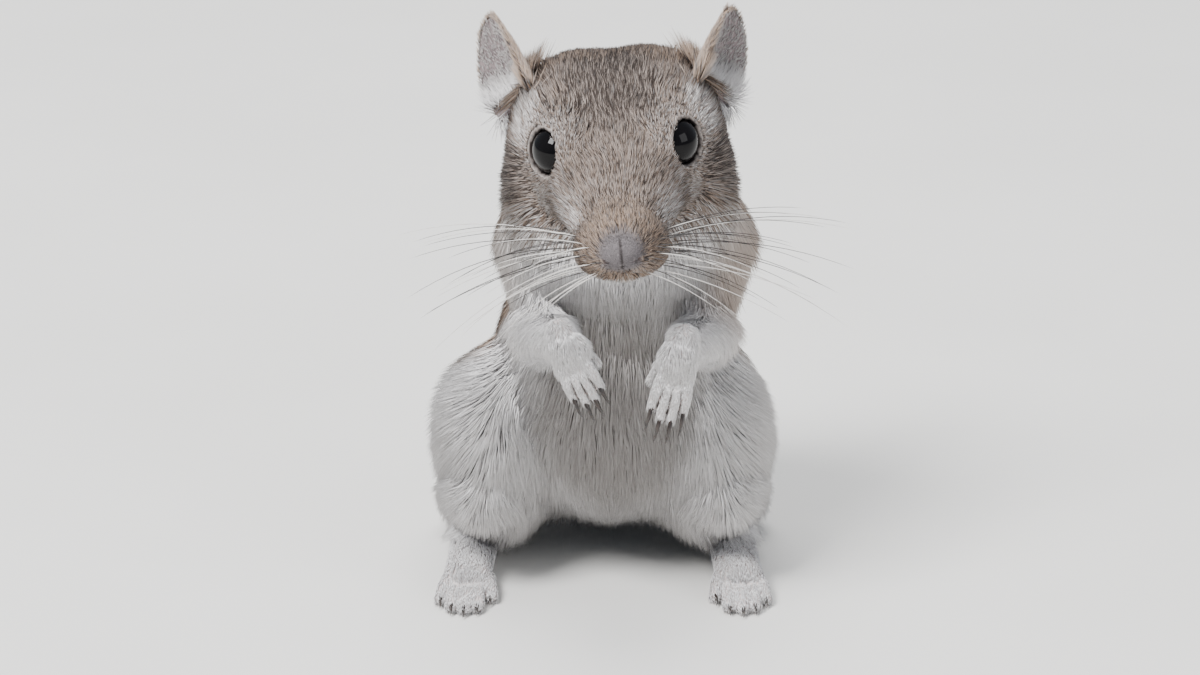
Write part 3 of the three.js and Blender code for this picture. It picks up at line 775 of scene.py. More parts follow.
    def mouth(self, q: Array, thick: float, moved: Sequence[float] = (0, 0, 0)) -> Array:
        """Distance to a thread of some thickness along the closed mouth, or so far from it.

        The mouth is a bow on the head's surface that runs back and down to its corners.

        Args:
            q: points in the head's frame.
            thick: the thread's radius.
            moved: how far the thread is moved from the mouth's line.

        Returns:
            One distance for each point.
        """
        m = np.linspace(-1, 1, self.MOUTH_POINTS)
        line = np.stack([5.0 * m, -13.4 + 6.6 * m**2, -9.4 - 1.3 * m**2], axis=1)
        for _ in range(6):
            gradient, here = slope_of(self.head, line)
            line -= gradient * (here / (gradient**2).sum(1))[:, None]
        return chain(q, line + np.asarray(moved), np.full(self.MOUTH_POINTS, thick))

    def nostrils(self, q: Array, radii: Sequence[float]) -> Array:
        """How far points are from a nostril's middle, over some half axes."""
        return np.linalg.norm((np.abs(q) - self.NOSTRIL) / radii, axis=1)

    def opened(self, q: Array, distance: Array, side: Side) -> Array:
        """The head's skin with one eye's opening, an oval cone round the way the eye looks.

        Args:
            q: points in the head's frame.
            distance: the skin's field there.
            side: which eye.

        Returns:
            The field with the opening, and clear of the eyeball.
        """
        look = self.look(side)
        level = unit(np.cross([0, 0, 1], look))
        upright = np.cross(look, level) + 0.35 * side.sign * level
        away = q - self.frame.eye(side)
        tall, out = away @ unit(upright), away @ look
        wide = np.sqrt(np.maximum((away**2).sum(1) - tall**2 - out**2, 0.0))
        opening = np.hypot(wide * 1.22, tall) - 1.45 * out
        distance = carve(0.35, distance, np.maximum(opening, 0.6 - out) * 0.6)
        return np.maximum(distance, self.eye_radius + 0.04 - np.linalg.norm(away, axis=1))

    def face(self, q: Array, distance: Array) -> Array:
        """The head's skin with lids, eye openings, nose pad, nostrils, lips and mouth.

        Args:
            q: points in the head's frame.
            distance: the skin's field there before these are added.

        Returns:
            The field with them.
        """
        for side in Side:
            lids = np.linalg.norm(q - self.frame.eye(side), axis=1) - (self.eye_radius + 0.55)
            distance = smooth_min(distance, lids, 0.9)
        distance = smooth_min(distance, self.NOSE.of(q), 0.5)
        distance = smooth_min(distance, self.mouth(q, 0.5, (0, 0.5, 0.45)), 0.6)
        for side in Side:
            distance = self.opened(q, distance, side)
            distance = carve(0.2, distance, self.SLIT.on(q, side))
        distance = carve(0.25, distance, self.mouth(q, 0.24, (0, -0.1, 0)))
        return carve(0.25, distance, self.GROOVE.of(q))


# Shader helpers


class Socket:
    """One output socket of a material's nodes, which Python's operators can work on."""

    def __init__(self, nodes: "Nodes", socket: bpy.types.NodeSocket) -> None:
        """Keeps the socket and the nodes that it belongs to."""
        self.nodes = nodes
        self.socket = socket

    def _math(self, operation: str, first: "Socket | float", second: "Socket | float") -> "Socket":
        """A Math node on two values."""
        return self.nodes.add("ShaderNodeMath", {"operation": operation}, {0: first, 1: second})

    def __add__(self, other: "Socket | float") -> "Socket":
        """Self plus other."""
        return self._math("ADD", self, other)

    def __sub__(self, other: "Socket | float") -> "Socket":
        """Self minus other."""
        return self._math("SUBTRACT", self, other)

    def __rsub__(self, other: float) -> "Socket":
        """Other minus self."""
        return self._math("SUBTRACT", other, self)

    def __mul__(self, other: "Socket | float") -> "Socket":
        """Self times other."""
        return self._math("MULTIPLY", self, other)

    def held(self, low: float, high: float) -> "Socket":
        """Zero below low, one above high, and smooth between them."""
        return self.nodes.add(
            "ShaderNodeMapRange",
            {"interpolation_type": "SMOOTHSTEP"},
            {"Value": self, "From Min": low, "From Max": high},
        )


class Nodes:
    """The nodes of one material, built from Python."""

    # A Mix node's colour inputs and its colour output have no names of their own.
    MIX_A = 6
    MIX_B = 7
    MIX_RESULT = 2

    def __init__(self, name: str) -> None:
        """Makes a material with an empty tree and an output.

        Args:
            name: the material's name.
        """
        self.material = bpy.data.materials.new(name)
        self.material.use_nodes = True
        self.tree = self.material.node_tree
        self.tree.nodes.clear()
        self.output = self.tree.nodes.new("ShaderNodeOutputMaterial")

    def add(
        self, kind: str, settings: dict | None = None, inputs: dict | None = None, output: str | int = 0
    ) -> Socket:
        """Adds any node.

        Args:
            kind: the node's type.
            settings: its properties, set before its inputs; "stops" gives a ramp's places and colours.
            inputs: values or links for its inputs, by name or number.
            output: which output to give back.

        Returns:
            The output, as a Socket.
        """
        node = self.tree.nodes.new(kind)
        for key, value in (settings or {}).items():
            if key == "stops":
                self._ramp(node, value)
            else:
                setattr(node, key, value)
        for key, value in (inputs or {}).items():
            if isinstance(value, Socket):
                self.tree.links.new(value.socket, node.inputs[key])
            else:
                node.inputs[key].default_value = value
        return Socket(self, node.outputs[output])

    @staticmethod
    def _ramp(node: bpy.types.Node, stops: Sequence[tuple[float, Sequence[float]]]) -> None:
        """Sets a ramp's stops."""
        elements = node.color_ramp.elements
        while len(elements) < len(stops):
            elements.new(1.0)
        for element, (place, color) in zip(elements, stops):
            element.position, element.color = place, (*color, 1.0)

    def attribute(self, name: str) -> Socket:
        """A number that the mesh carries."""
        return self.add("ShaderNodeAttribute", {"attribute_name": name}, output="Fac")

    def place(self) -> Socket:
        """Object coordinates."""
        return self.add("ShaderNodeTexCoord", output="Object")

    def noise(self, vector: Socket, scale: float, detail: float = 3.0) -> Socket:
        """Noise from 0 to 1 at a scale, in waves for each metre."""
        return self.add("ShaderNodeTexNoise", {}, {"Vector": vector, "Scale": scale, "Detail": detail})

    def mix(
        self,
        factor: "Socket | float",
        first: "Socket | Sequence[float]",
        second: "Socket | Sequence[float]",
    ) -> Socket:
        """The first colour where factor is 0 and the second where it is 1.

        Args:
            factor: how far the second shows, from 0 to 1.
            first: a colour or a link.
            second: a colour or a link.

        Returns:
            The mixed colour.
        """
        a, b = (value if isinstance(value, Socket) else (*value, 1.0) for value in (first, second))
        inputs = {"Factor": factor, self.MIX_A: a, self.MIX_B: b}
        return self.add("ShaderNodeMix", {"data_type": "RGBA"}, inputs, output=self.MIX_RESULT)

    def bump(self, height: Socket, strength: float, distance: float) -> Socket:
        """A normal that rises and falls with a height, by a strength and a distance in metres."""
        inputs = {"Strength": strength, "Distance": distance, "Height": height}
        return self.add("ShaderNodeBump", {}, inputs)

    def surface(self, inputs: dict) -> bpy.types.Material:
        """Ends the material in a Principled shader.

        Args:
            inputs: values or links for the shader's inputs, by name.

        Returns:
            The material.
        """
        shader = self.add("ShaderNodeBsdfPrincipled", {}, inputs)
        self.tree.links.new(shader.socket, self.output.inputs["Surface"])
        return self.material


def linear(red: int, green: int, blue: int) -> tuple[float, float, float]:
    """A screen colour of 0..255 as the linear colour that shaders use."""

    def channel(value: int) -> float:
        """One channel, by the sRGB curve."""
        v = value / 255
        return v / 12.92 if v <= 0.04045 else ((v + 0.055) / 1.055) ** 2.4

    return channel(red), channel(green), channel(blue)


# Finishes


@dataclass(frozen=True)
class Fur:
    """The coat's colours and its shaders, shared by the skin and every tuft."""

    sooty: tuple = linear(46, 40, 38)
    agouti: tuple = linear(110, 92, 79)
    sandy: tuple = linear(162, 132, 104)
    grizzle: tuple = linear(150, 142, 138)
    white: tuple = linear(242, 240, 240)
    shade: tuple = linear(158, 153, 150)
    skin: tuple = linear(190, 164, 156)
    pad: tuple = linear(122, 116, 117)
    rim: tuple = linear(34, 26, 24)
    lips: tuple = linear(70, 56, 54)

    def color(self, nodes: Nodes, grain: Socket) -> Socket:
        """The coat's colour from the masks that the mesh carries.

        White is laid over with agouti where the mask "back" is high, then with sand where "sand" is. The
        grain, a random number for each tuft, splits the agouti into light and sooty hairs. In white fur
        the mask "soot" is the share of grey instead, and there it is painted shade on the chest and belly,
        low on the body and between the fingers. The mask "nose" lays the pad's own colour over all.

        Args:
            nodes: the material's nodes.
            grain: the random number.

        Returns:
            The colour.
        """
        back, sand, soot, nose = (nodes.attribute(name) for name in ("back", "sand", "soot", "nose"))
        ticked = nodes.mix(grain.held(0.15, 0.95), self.agouti, self.grizzle)
        ticked = nodes.mix(sand * grain.held(0.1, 0.5), ticked, self.sandy)
        ticked = nodes.mix((soot - grain).held(-0.06, 0.06) * 0.85, ticked, self.sooty)
        # Grey in white fur from each tuft's grain, and painted shade where the dark mask is high on the
        # chest, belly and lower body.
        pale = nodes.mix(grain * 0.35 + soot, self.white, self.shade)
        tinted = nodes.mix(sand * (1 - back) * 0.8, pale, self.sandy)
        pad = nodes.mix(soot.held(0.5, 0.9), self.pad, self.sooty)
        return nodes.mix(nose, nodes.mix(back, tinted, ticked), pad)

    def hair(self) -> bpy.types.Material:
        """The tufts' material: darker at the root, with each tuft's own tone.

        Returns:
            The material.
        """
        nodes = Nodes("fur")
        along, grain = nodes.attribute("along"), nodes.attribute("grain")
        color = self.color(nodes, grain)
        root = nodes.mix(0.25, color, self.shade)
        shaded = nodes.mix(along.held(0.0, 0.45), root, color)
        return nodes.surface({"Base Color": shaded, "Roughness": 0.72, "Specular IOR Level": 0.25})

    def hide(self) -> bpy.types.Material:
        """The skin's material: the same markings, with fine noise for hairs and a bump along them.

        Returns:
            The material.
        """
        nodes = Nodes("hide")
        place = nodes.place()
        fine = nodes.noise(place, 3200.0)
        color = self.color(nodes, fine.held(0.3, 0.7))
        bare = nodes.mix(nodes.attribute("bare"), color, self.skin)
        rimmed = nodes.mix(nodes.attribute("rim"), bare, self.rim)
        lipped = nodes.mix(nodes.attribute("lips"), rimmed, self.lips)
        bump = nodes.bump(fine, 0.5, 0.0002)
        inputs = {"Base Color": lipped, "Roughness": 0.8, "Specular IOR Level": 0.25, "Normal": bump}
        return nodes.surface(inputs)


@dataclass(frozen=True)
class Plain:
    """A finish of one colour with soft mottling.

    Attributes:
        name: the material's name.
        color: its lighter tone.
        darker: its darker tone.
        roughness: how rough it is.
        scale: the mottling's waves for each metre.
        coat: how strong its clear coat is.
        bump: how strong its bumps are.
        shine: its specular level.
    """

    name: str
    color: tuple
    darker: tuple
    roughness: float
    scale: float = 900.0
    coat: float = 0.0
    bump: float = 0.15
    shine: float = 0.5

    def material(self) -> bpy.types.Material:
        """The finish's material: two tones mixed by noise, and a fine bump.

        Returns:
            The material.
        """
        nodes = Nodes(self.name)
        mottle = nodes.noise(nodes.place(), self.scale)
        color = nodes.mix(mottle.held(0.3, 0.7), self.color, self.darker)
        bump = nodes.bump(mottle, self.bump, 0.0001)
        return nodes.surface(
            {
                "Base Color": color,
                "Roughness": self.roughness,
                "Specular IOR Level": self.shine,
                "Coat Weight": self.coat,
                "Coat Roughness": 0.02,
                "Normal": bump,
            }
        )


EYE = Plain("eye", linear(12, 10, 11), linear(6, 5, 6), 0.06, 400.0, 0.0, 0.0, 0.16)
CLAW = Plain("claw", linear(48, 36, 30), linear(26, 20, 17), 0.3, 1500.0, 0.3)
WHISKER_DARK = Plain("whisker_dark", linear(44, 38, 36), linear(30, 26, 24), 0.4)
WHISKER_PALE = Plain("whisker_pale", linear(226, 222, 216), linear(206, 200, 194), 0.4)
FLOOR = Plain("floor", linear(226, 224, 220), linear(222, 220, 216), 0.9, 20.0)


# Pieces


def make_mesh(
    name: str, vertices: Array, faces: Array, shift: Array, smooth: bool = True
) -> bpy.types.Object:
    """A new object of triangles or quads.

    Args:
        name: the piece's name.
        vertices: points in the animal's frame, in millimetres.
        faces: rows of three or four vertex numbers.
        shift: where the animal's origin is in the part's frame.
        smooth: whether its faces are shaded smooth.

    Returns:
        The object, at the origin, with its place in its mesh.
    """
    mesh = bpy.data.meshes.new(name)
    sides = faces.shape[1]
    mesh.vertices.add(len(vertices))
    mesh.vertices.foreach_set("co", ((vertices + shift) * MM).astype(np.float32).ravel())
    mesh.loops.add(faces.size)
    mesh.loops.foreach_set("vertex_index", faces.astype(np.int32).ravel())
    mesh.polygons.add(len(faces))
    mesh.polygons.foreach_set("loop_start", np.arange(0, faces.size, sides, dtype=np.int32))
    mesh.polygons.foreach_set("use_smooth", np.full(len(faces), smooth))
    mesh.update(calc_edges=True)
    mesh.validate()
    piece = bpy.data.objects.new(name, mesh)
    bpy.context.scene.collection.objects.link(piece)
    return piece


def carry(piece: bpy.types.Object, name: str, values: Array) -> None:
    """Writes one number for each vertex into a piece's mesh, for its material to read."""
    piece.data.attributes.new(name, "FLOAT", "POINT").data.foreach_set("value", values.astype(np.float32))


def dress(piece: bpy.types.Object, material: bpy.types.Material) -> bpy.types.Object:
    """Gives a piece its material and its body, and reports it.

    Args:
        piece: a mesh object.
        material: its material.

    Returns:
        The piece.
    """
    piece.data.materials.append(material)
    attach(piece, BODY)
    LOG.info("%s: %d faces", piece.name, len(piece.data.polygons))
    return piece


def tube(line: Array, radii: Array, sides: int, flat: float = 1.0) -> Shape:
    """A round section carried along a line, which closes where its radius goes to zero.

    Point (i, j) is line(i) plus radius(i) times (cos a side + flat sin a up), with a going round with j.

    Args:
        line: the middle line's points.
        radii: the radius at each point.
        sides: how many points go round.
        flat: the section's thickness as a share of its width.

    Returns:
        The vertices and the quads.
    """
    ahead = slopes(line)
    helper = np.where(np.abs(ahead[:, [2]]) < 0.9, [[0.0, 0, 1]], [[1.0, 0, 0]])
    side = unit(np.cross(ahead, helper))
    up = np.cross(side, ahead)
    angle = np.linspace(0, 2 * math.pi, sides, endpoint=False)
    ring = np.cos(angle)[None, :, None] * side[:, None] + flat * np.sin(angle)[None, :, None] * up[:, None]
    vertices = (line[:, None] + radii[:, None, None] * ring).reshape(-1, 3)
    return vertices, grid_quads(len(line), sides)[:, [0, 3, 2, 1]]


def joined(shapes: Sequence[Shape]) -> Shape:
    """Several shapes' vertices and faces as one."""
    starts = np.cumsum([0] + [len(vertices) for vertices, _ in shapes[:-1]])
    faces = [quads + start for (_, quads), start in zip(shapes, starts)]
    return np.concatenate([vertices for vertices, _ in shapes]), np.concatenate(faces)


@dataclass
class Markings:
    """Where the coat is brown, sandy, sooty or white, and where shade is painted into it, as smooth masks
    of a place on the animal.
    """

    anatomy: Anatomy

    # Patches of the head are in its frame, and those off its middle are on both sides.
    PALE = (
        Patch((4.9, -7.4, -4.8), (3.6, 3.8, 3.4), 0.52),
        Patch((5.4, -3.6, -3.0), (3.0, 3.4, 3.4), 0.5),
        Patch((9.6, 4.4, 1.6), (3.4, 4.4, 4.8), 0.7),
        Patch((8.6, -2.4, -4.4), (3.2, 3.6, 3.2), 0.45),
        Patch((6.7, 0.2, 0.3), (5.6, 5.6, 5.6), 0.55),
    )
    CROWN = Patch((0, 4, 5), (9.5, 15, 9))
    CHEEK = Patch((11.5, 3.5, -4.5), (5.0, 6.5, 5.0))
    NOSE = Patch((0, -15.4, -6.4), (3.7, 3.8, 4.4))
    NECK = Patch((-0.8, -2.0, 40.0), (60, 13, 14))
    # Painted shade: greys the white fur on the front of the chest and belly.
    BELLY = Patch((-0.5, -8.0, 27.0), (14.0, 16.0, 19.0))

    def neck_sides(self, p: Array) -> Array:
        """The yellowish sides of the neck, weaker on the animal's right.

        Args:
            p: points of the animal's frame, one row each.

        Returns:
            A value from 0 to 1 for each point.
        """
        aside = smooth_step(8.0, 12.5, np.abs(p[:, 0] + 0.8))
        return self.NECK.of(p) * aside * np.where(p[:, 0] > 0, 1.0, 0.5)

    def tail(self, p: Array) -> Array:
        """The brown upper side of the tail: above its middle line at the same Y.

        Args:
            p: points of the animal's frame, one row each.

        Returns:
            A value from 0 to 1 for each point.
        """
        line = self.anatomy.tail_points
        above = p[:, 2] - np.interp(p[:, 1], line[:, 1], line[:, 2])
        return smooth_step(24.0, 30.0, p[:, 1]) * smooth_step(-0.8, 0.6, above)

    def masks(self, p: Array) -> dict[str, Array]:
        """The masks at points of the animal's frame.

        Args:
            p: points, one row each.

        Returns:
            "back" for ticked brown fur and for painted shade between the fingers, "sand" for yellow, "soot"
            for the share of dark hairs and of painted shade, "nose" for the nose's pad.
        """
        a = self.anatomy
        q = a.frame.to_head(p)
        x = np.abs(q[:, 0])
        mirrored = np.stack([x, q[:, 1], q[:, 2]], axis=1)
        on_head = smooth_step(3.0, -3.0, a.head(q) - 0.5 * a.neck(p))
        limbs = np.minimum.reduce([d(p, s) for s in Side for d in (a.foot, a.paw, a.forearm)])
        # The line between back and belly runs along the flank, up the shoulder and over the cheek.
        wobble = ripple(p, 7.0, 3)
        flank = p[:, 2] * 0.25 + p[:, 1] - 11.0 + wobble[:, 0] * 1.5
        trunk = smooth_step(-3.0, 3.0, flank) * smooth_step(4.0, 9.0, p[:, 2])
        head = smooth_step(-1.6, 1.8, q[:, 2] + 12.2 + 0.32 * q[:, 1] + wobble[:, 1] * 0.8)
        muzzle = smooth_step(-8.0, -12.5, q[:, 1]) * on_head
        crown, cheek = self.CROWN.of(mirrored) * on_head, self.CHEEK.of(mirrored) * on_head
        pale = np.maximum.reduce([patch.of(mirrored) for patch in self.PALE])
        back = (trunk * (1 - on_head) + head * on_head) * (1 - 0.85 * pale)
        back = np.maximum(back, 0.9 * muzzle * smooth_step(-10.8, -9.4, q[:, 2]))
        sand = [0.45 * muzzle, 0.7 * self.neck_sides(p), 0.45 * trunk, 0.2 * head * on_head]
        soot = [0.7 * crown, 0.6 * cheek, 0.3 * trunk, 0.4 * back * on_head]
        back = np.maximum(back, 0.8 * cheek) * smooth_step(0.4, 2.5, limbs)
        tail = self.tail(p)
        # Painted shade in the grooves between the fingers: it goes into both the brown and the dark masks, so
        # the paws' white fur turns dark there.
        gap_shade = np.maximum.reduce([a.finger_groove_shade(p, s) for s in Side])
        nose = self.NOSE.of(q)
        midline = 0.8 * (1 - smooth_step(0.05, 0.5, x))
        furred = smooth_step(0.2, 1.5, limbs)
        # Painted shade: the furred coat greys below the forelegs, darker towards the bottom, and the chest
        # and belly grey by their patch.
        lower = 0.25 * smooth_step(34.0, 26.0, p[:, 2])
        soot += [0.3 * tail, 0.85 * self.BELLY.of(p) * furred, lower * furred, midline * nose, gap_shade]
        masks = {
            "back": np.maximum.reduce([back, 0.9 * tail, 0.65 * gap_shade]),
            "sand": np.maximum.reduce([*sand, 0.6 * tail]),
            "soot": np.maximum.reduce(soot),
            "nose": smooth_step(0.2, 0.8, nose),
        }
        return {name: np.clip(mask, 0, 1) for name, mask in masks.items()}


@dataclass
class Skin:
    """The animal's one skin under its coat: trunk, head, legs, paws, feet and tail."""

    anatomy: Anatomy
    markings: Markings
    shift: Array
    coarse: float = 1.0
    tail_inset: float = 0.55
    tail_points: int = 240

    def depth(self, p: Array) -> Array:
        """How far the skin lies under the solids' surface.

        It grows from 0.3 mm on the muzzle to 1.5 mm on the crown and 2.6 mm on the trunk, is least round
        the eyes, and shrinks towards the ankles.

        Args:
            p: points of the animal's frame.

        Returns:
            One depth for each point.
        """
        q = self.anatomy.frame.to_head(p)
        head = 0.3 + 0.7 * smooth_step(-12, -3, q[:, 1]) + 0.5 * smooth_step(2, 10, q[:, 1])
        head = head * (0.3 + 0.7 * smooth_step(3.2, 6.0, self.anatomy.frame.eye_distance(q)))
        body = 1.3 + 1.3 * smooth_step(5, 15, p[:, 2])
        apart = smooth_step(0.9, 1.4, np.linalg.norm((q - [0, 2, -4]) / [14, 16, 12], axis=1))
        return head * (1 - apart) + body * apart

    def distance(self, p: Array) -> Array:
        """The skin's field: the flesh drawn in by the coat's depth, with paws, feet, lids and nose.

        Args:
            p: points of the animal's frame, one row each.

        Returns:
            One distance for each point.
        """
        a = self.anatomy
        skin = a.flesh(p) + self.depth(p)
        for side in Side:
            skin = smooth_min(skin, a.forearm(p, side, 0.7), 2.2)
            skin = smooth_min(skin, a.paw(p, side), 1.0)
            skin = smooth_min(skin, a.foot(p, side), 3.0)
        skin = smooth_min(skin, a.tail_root(p, self.tail_inset), 1.2)
        q = a.frame.to_head(p)
        near = (np.abs(q[:, 0]) < 12.5) & (q[:, 1] < 6) & (q[:, 1] > -19) & (np.abs(q[:, 2] + 3) < 11)
        if near.any():
            skin[near] = a.face(q[near], skin[near])
        return np.maximum(skin, 0.03 - p[:, 2])

    def tail(self) -> Shape:
        """The tail's tube past its first stretch, which narrows to a round end.

        Returns:
            The tube's vertices and quads.
        """
        count = self.tail_points
        line, radii = self.anatomy.tail_at(count)
        ending = np.sqrt(np.clip((count - np.arange(count)) / 12, 0.0, 1.0))
        radii = np.maximum(radii - self.tail_inset, 0.1) * ending
        start = 34
        return tube(line[start:], radii[start:], 20)

    def shape(self) -> Shape:
        """The body's surface over a grid that is fine at the face and paws, joined to the tail's tube.

        Returns:
            The vertices and the quads.
        """
        c = self.coarse
        middle = [(-12, 0.6 * c), (-5, 0.42 * c), (4.5, 0.27 * c), (12, 0.42 * c), (99, 0.6 * c)]
        xs = stations(-24, 22, middle)
        ys = stations(-30, 37, [(-20, 0.27 * c), (-8, 0.42 * c), (99, 0.85 * c)])
        zs = stations(-1, 67, [(5, 0.42 * c), (21, 0.85 * c), (40, 0.42 * c), (54, 0.3 * c), (99, 0.5 * c)])
        return joined([surface_net(self.distance, xs, ys, zs), self.tail()])

    def build(self) -> tuple[bpy.types.Object, Array, Array]:
        """Makes the skin and its masks.

        Returns:
            The object, its vertices in millimetres and its quads.
        """
        a = self.anatomy
        vertices, quads = self.shape()
        skin = make_mesh("skin", vertices, quads, self.shift)
        q = a.frame.to_head(vertices)
        eye = a.frame.eye_distance(q)
        nostrils = a.nostrils(q, [0.9, 1.2, 0.75])
        lips = np.maximum(1 - smooth_step(0.6, 1.0, nostrils), 1 - smooth_step(0.2, 0.5, a.mouth(q, 0.1)))
        paws = np.minimum.reduce([d(vertices, s) for s in Side for d in (a.foot, a.paw)])
        masks = self.markings.masks(vertices)
        masks["rim"] = 1 - smooth_step(a.eye_radius + 0.3, a.eye_radius + 0.62, eye)
        masks["lips"] = lips
        masks["bare"] = 0.45 * (1 - smooth_step(0.2, 1.0, paws))
        for name, mask in masks.items():
            carry(skin, name, mask)
        return skin, vertices, quads


def unwrap(piece: bpy.types.Object) -> Array:
    """Unwraps a piece by its own shape into a map named OFBake.

    Args:
        piece: a mesh object.

    Returns:
        The map's place for each corner of each face.
    """
    piece.data.uv_layers.new(name="OFBake")
    bpy.context.view_layer.objects.active = piece
    piece.select_set(True)
    bpy.ops.object.mode_set(mode="EDIT")
    bpy.ops.mesh.select_all(action="SELECT")
    bpy.ops.uv.smart_project(angle_limit=math.radians(66), island_margin=0.002)
    bpy.ops.object.mode_set(mode="OBJECT")
    piece.select_set(False)
    places = np.empty(len(piece.data.loops) * 2, np.float32)
    piece.data.uv_layers["OFBake"].uv.foreach_get("vector", places)
    return places.reshape(-1, 2)


@dataclass
class Roots:
    """Where tufts grow: their place, the skin's normal there, and their place on the unwrap."""

    place: Array
    normal: Array
    mark: Array


def scatter(
    vertices: Array, quads: Array, marks: Array, density: Field, rng: np.random.Generator
) -> Roots:
    """Sows tufts over a surface.

    Each quad is two triangles, and each triangle takes a share of the tufts by its area times the density at
    its middle. A tuft's place in it is even: a = sqrt(u), with weights 1 - a, a (1 - v) and a v.

    Args:
        vertices: the surface's points.
        quads: its faces.
        marks: the unwrap's place for each corner of each face.
        density: tufts on each square millimetre, at given points.
        rng: the source of chance.

    Returns:
        The tufts' roots.
    """
    corners = marks.reshape(-1, 4, 2)
    triangles = np.concatenate([quads[:, [0, 1, 2]], quads[:, [0, 2, 3]]])
    triangle_marks = np.concatenate([corners[:, [0, 1, 2]], corners[:, [0, 2, 3]]])
    points = vertices[triangles]
    cross = np.cross(points[:, 1] - points[:, 0], points[:, 2] - points[:, 0])
    area = np.linalg.norm(cross, axis=1) / 2
    count = rng.poisson(area * density(points.mean(1)))
    chosen = np.repeat(np.arange(len(triangles)), count)
    a, v = np.sqrt(rng.random(len(chosen))), rng.random(len(chosen))
    weights = np.stack([1 - a, a * (1 - v), a * v], axis=1)[:, :, None]
    at_corners = np.zeros_like(vertices)
    for corner in range(3):
        np.add.at(at_corners, triangles[:, corner], cross)
    normals = (unit(at_corners)[triangles[chosen]] * weights).sum(1)
    return Roots((points[chosen] * weights).sum(1), unit(normals), (triangle_marks[chosen] * weights).sum(1))


@dataclass
class Tufts:
    """Tapered tufts of fur, each a point at the root, a ring of three and a point at the tip.

    Attributes:
        roots: where they grow.
        lie: the direction of each.
        length: the length of each.
        width: the width of each at its ring.
        rise: how far each tip stands off the skin, as a share of its length.
    """

    roots: Roots
    lie: Array
    length: Array
    width: Array
    rise: Array

    POINTS = 5
    RING = 0.38
    SUNK = 0.12
    FACES = np.array([[0, 2, 1], [0, 3, 2], [0, 1, 3], [4, 1, 2], [4, 2, 3], [4, 3, 1]])
    ALONG = np.array([0.0, RING, RING, RING, 1.0])
    PATCH = np.array([[-1.0, 0.0], [0.0, 1.0], [0.0, -1.0], [0.35, 0.0], [1.0, 0.0]]) * 0.0015

    def vertices(self) -> Array:
        """Five points a tuft: root, the ring's left, right and top, and the tip.

        The ring's middle is at a share of the length and at 1.35 times the rise, and the tip bends back
        down: place = root + length (t sqrt(1 - r^2) + n r), with t the lie along the skin and n its normal.

        Returns:
            An array of tufts by points by coordinates.
        """
        n = self.roots.normal
        t = unit(self.lie - (self.lie * n).sum(1)[:, None] * n)
        across = np.cross(t, n)
        rise = self.rise[:, None]
        steep = np.minimum(rise * 1.35, 0.95)
        length, half = self.length[:, None], self.width[:, None] / 2
        root = self.roots.place - self.SUNK * n
        middle = self.roots.place + self.RING * length * (t * np.sqrt(1 - steep**2) + n * steep)
        tip = self.roots.place + length * (t * np.sqrt(1 - rise**2) + n * rise)
        ring = [middle + across * half, middle - across * half, middle + n * half * 0.9]
        return np.stack([root, *ring, tip], axis=1)

    def take(self, chosen: Array) -> "Tufts":
        """Some of the tufts."""
        roots = Roots(self.roots.place[chosen], self.roots.normal[chosen], self.roots.mark[chosen])
        return Tufts(roots, self.lie[chosen], self.length[chosen], self.width[chosen], self.rise[chosen])

    def build(self, name: str, masks: dict[str, Array], grain: Array, shift: Array) -> bpy.types.Object:
        """Makes one piece of the coat.

        Args:
            name: the piece's name.
            masks: the markings at each root.
            grain: a random number for each tuft.
            shift: where the animal's origin is in the part's frame.

        Returns:
            The object, with its masks and its unwrap.
        """
        count = len(self.length)
        faces = (self.FACES[None] + self.POINTS * np.arange(count)[:, None, None]).reshape(-1, 3)
        piece = make_mesh(name, self.vertices().reshape(-1, 3), faces, shift)
        for mask, values in masks.items():
            carry(piece, mask, np.repeat(values, self.POINTS))
        carry(piece, "grain", np.repeat(grain, self.POINTS))
        carry(piece, "along", np.tile(self.ALONG, count))
        marks = (self.roots.mark[:, None] + self.PATCH[None]).reshape(-1, 2)
        places = marks[faces.ravel()].astype(np.float32).ravel()
        piece.data.uv_layers.new(name="OFBake").uv.foreach_set("vector", places)
        return piece


# The coat

PELTS = {
    "snout": Pelt(1.25, 0.35, 62.0, 0.13),
    "crown": Pelt(2.7, 1.1, 38.0, 0.16),
    "neck": Pelt(5.4, 2.3, 22.0, 0.2),
    "trunk": Pelt(6.4, 2.3, 15.0, 0.22),
    "tail": Pelt(2.3, 0.7, 15.0, 0.19),
    "thigh": Pelt(6.0, 2.2, 19.0, 0.2),
    "shank": Pelt(3.8, 1.4, 24.0, 0.18),
    "arm": Pelt(4.8, 1.9, 24.0, 0.17),
    "forearm": Pelt(2.2, 0.5, 44.0, 0.12),
    "paw": Pelt(0.75, 0.1, 66.0, 0.08),
    "foot": Pelt(1.2, 0.2, 30.0, 0.11),
}


def one_way(direction: Sequence[float]) -> Field:
    """A lie that runs one way everywhere."""
    way = unit(direction)
    return lambda p: np.tile(way, (len(p), 1))


@dataclass
class Growth:
    """The lie and size of tufts at given places, while they are worked out.

    Attributes:
        p: the places in the animal's frame.
        q: the same places in the head's frame.
        lie: the direction of each tuft.
        length: the length of each.
        depth: how far each tip stands off the skin.
        width: the width of each.
    """

    p: Array
    q: Array
    lie: Array
    length: Array
    depth: Array
    width: Array

    def scale(self, length: Array, depth: Array | float = 1.0, width: Array | float = 1.0) -> None:
        """Multiplies the lengths, depths and widths."""
        self.length = self.length * length
        self.depth = self.depth * depth
        self.width = self.width * width


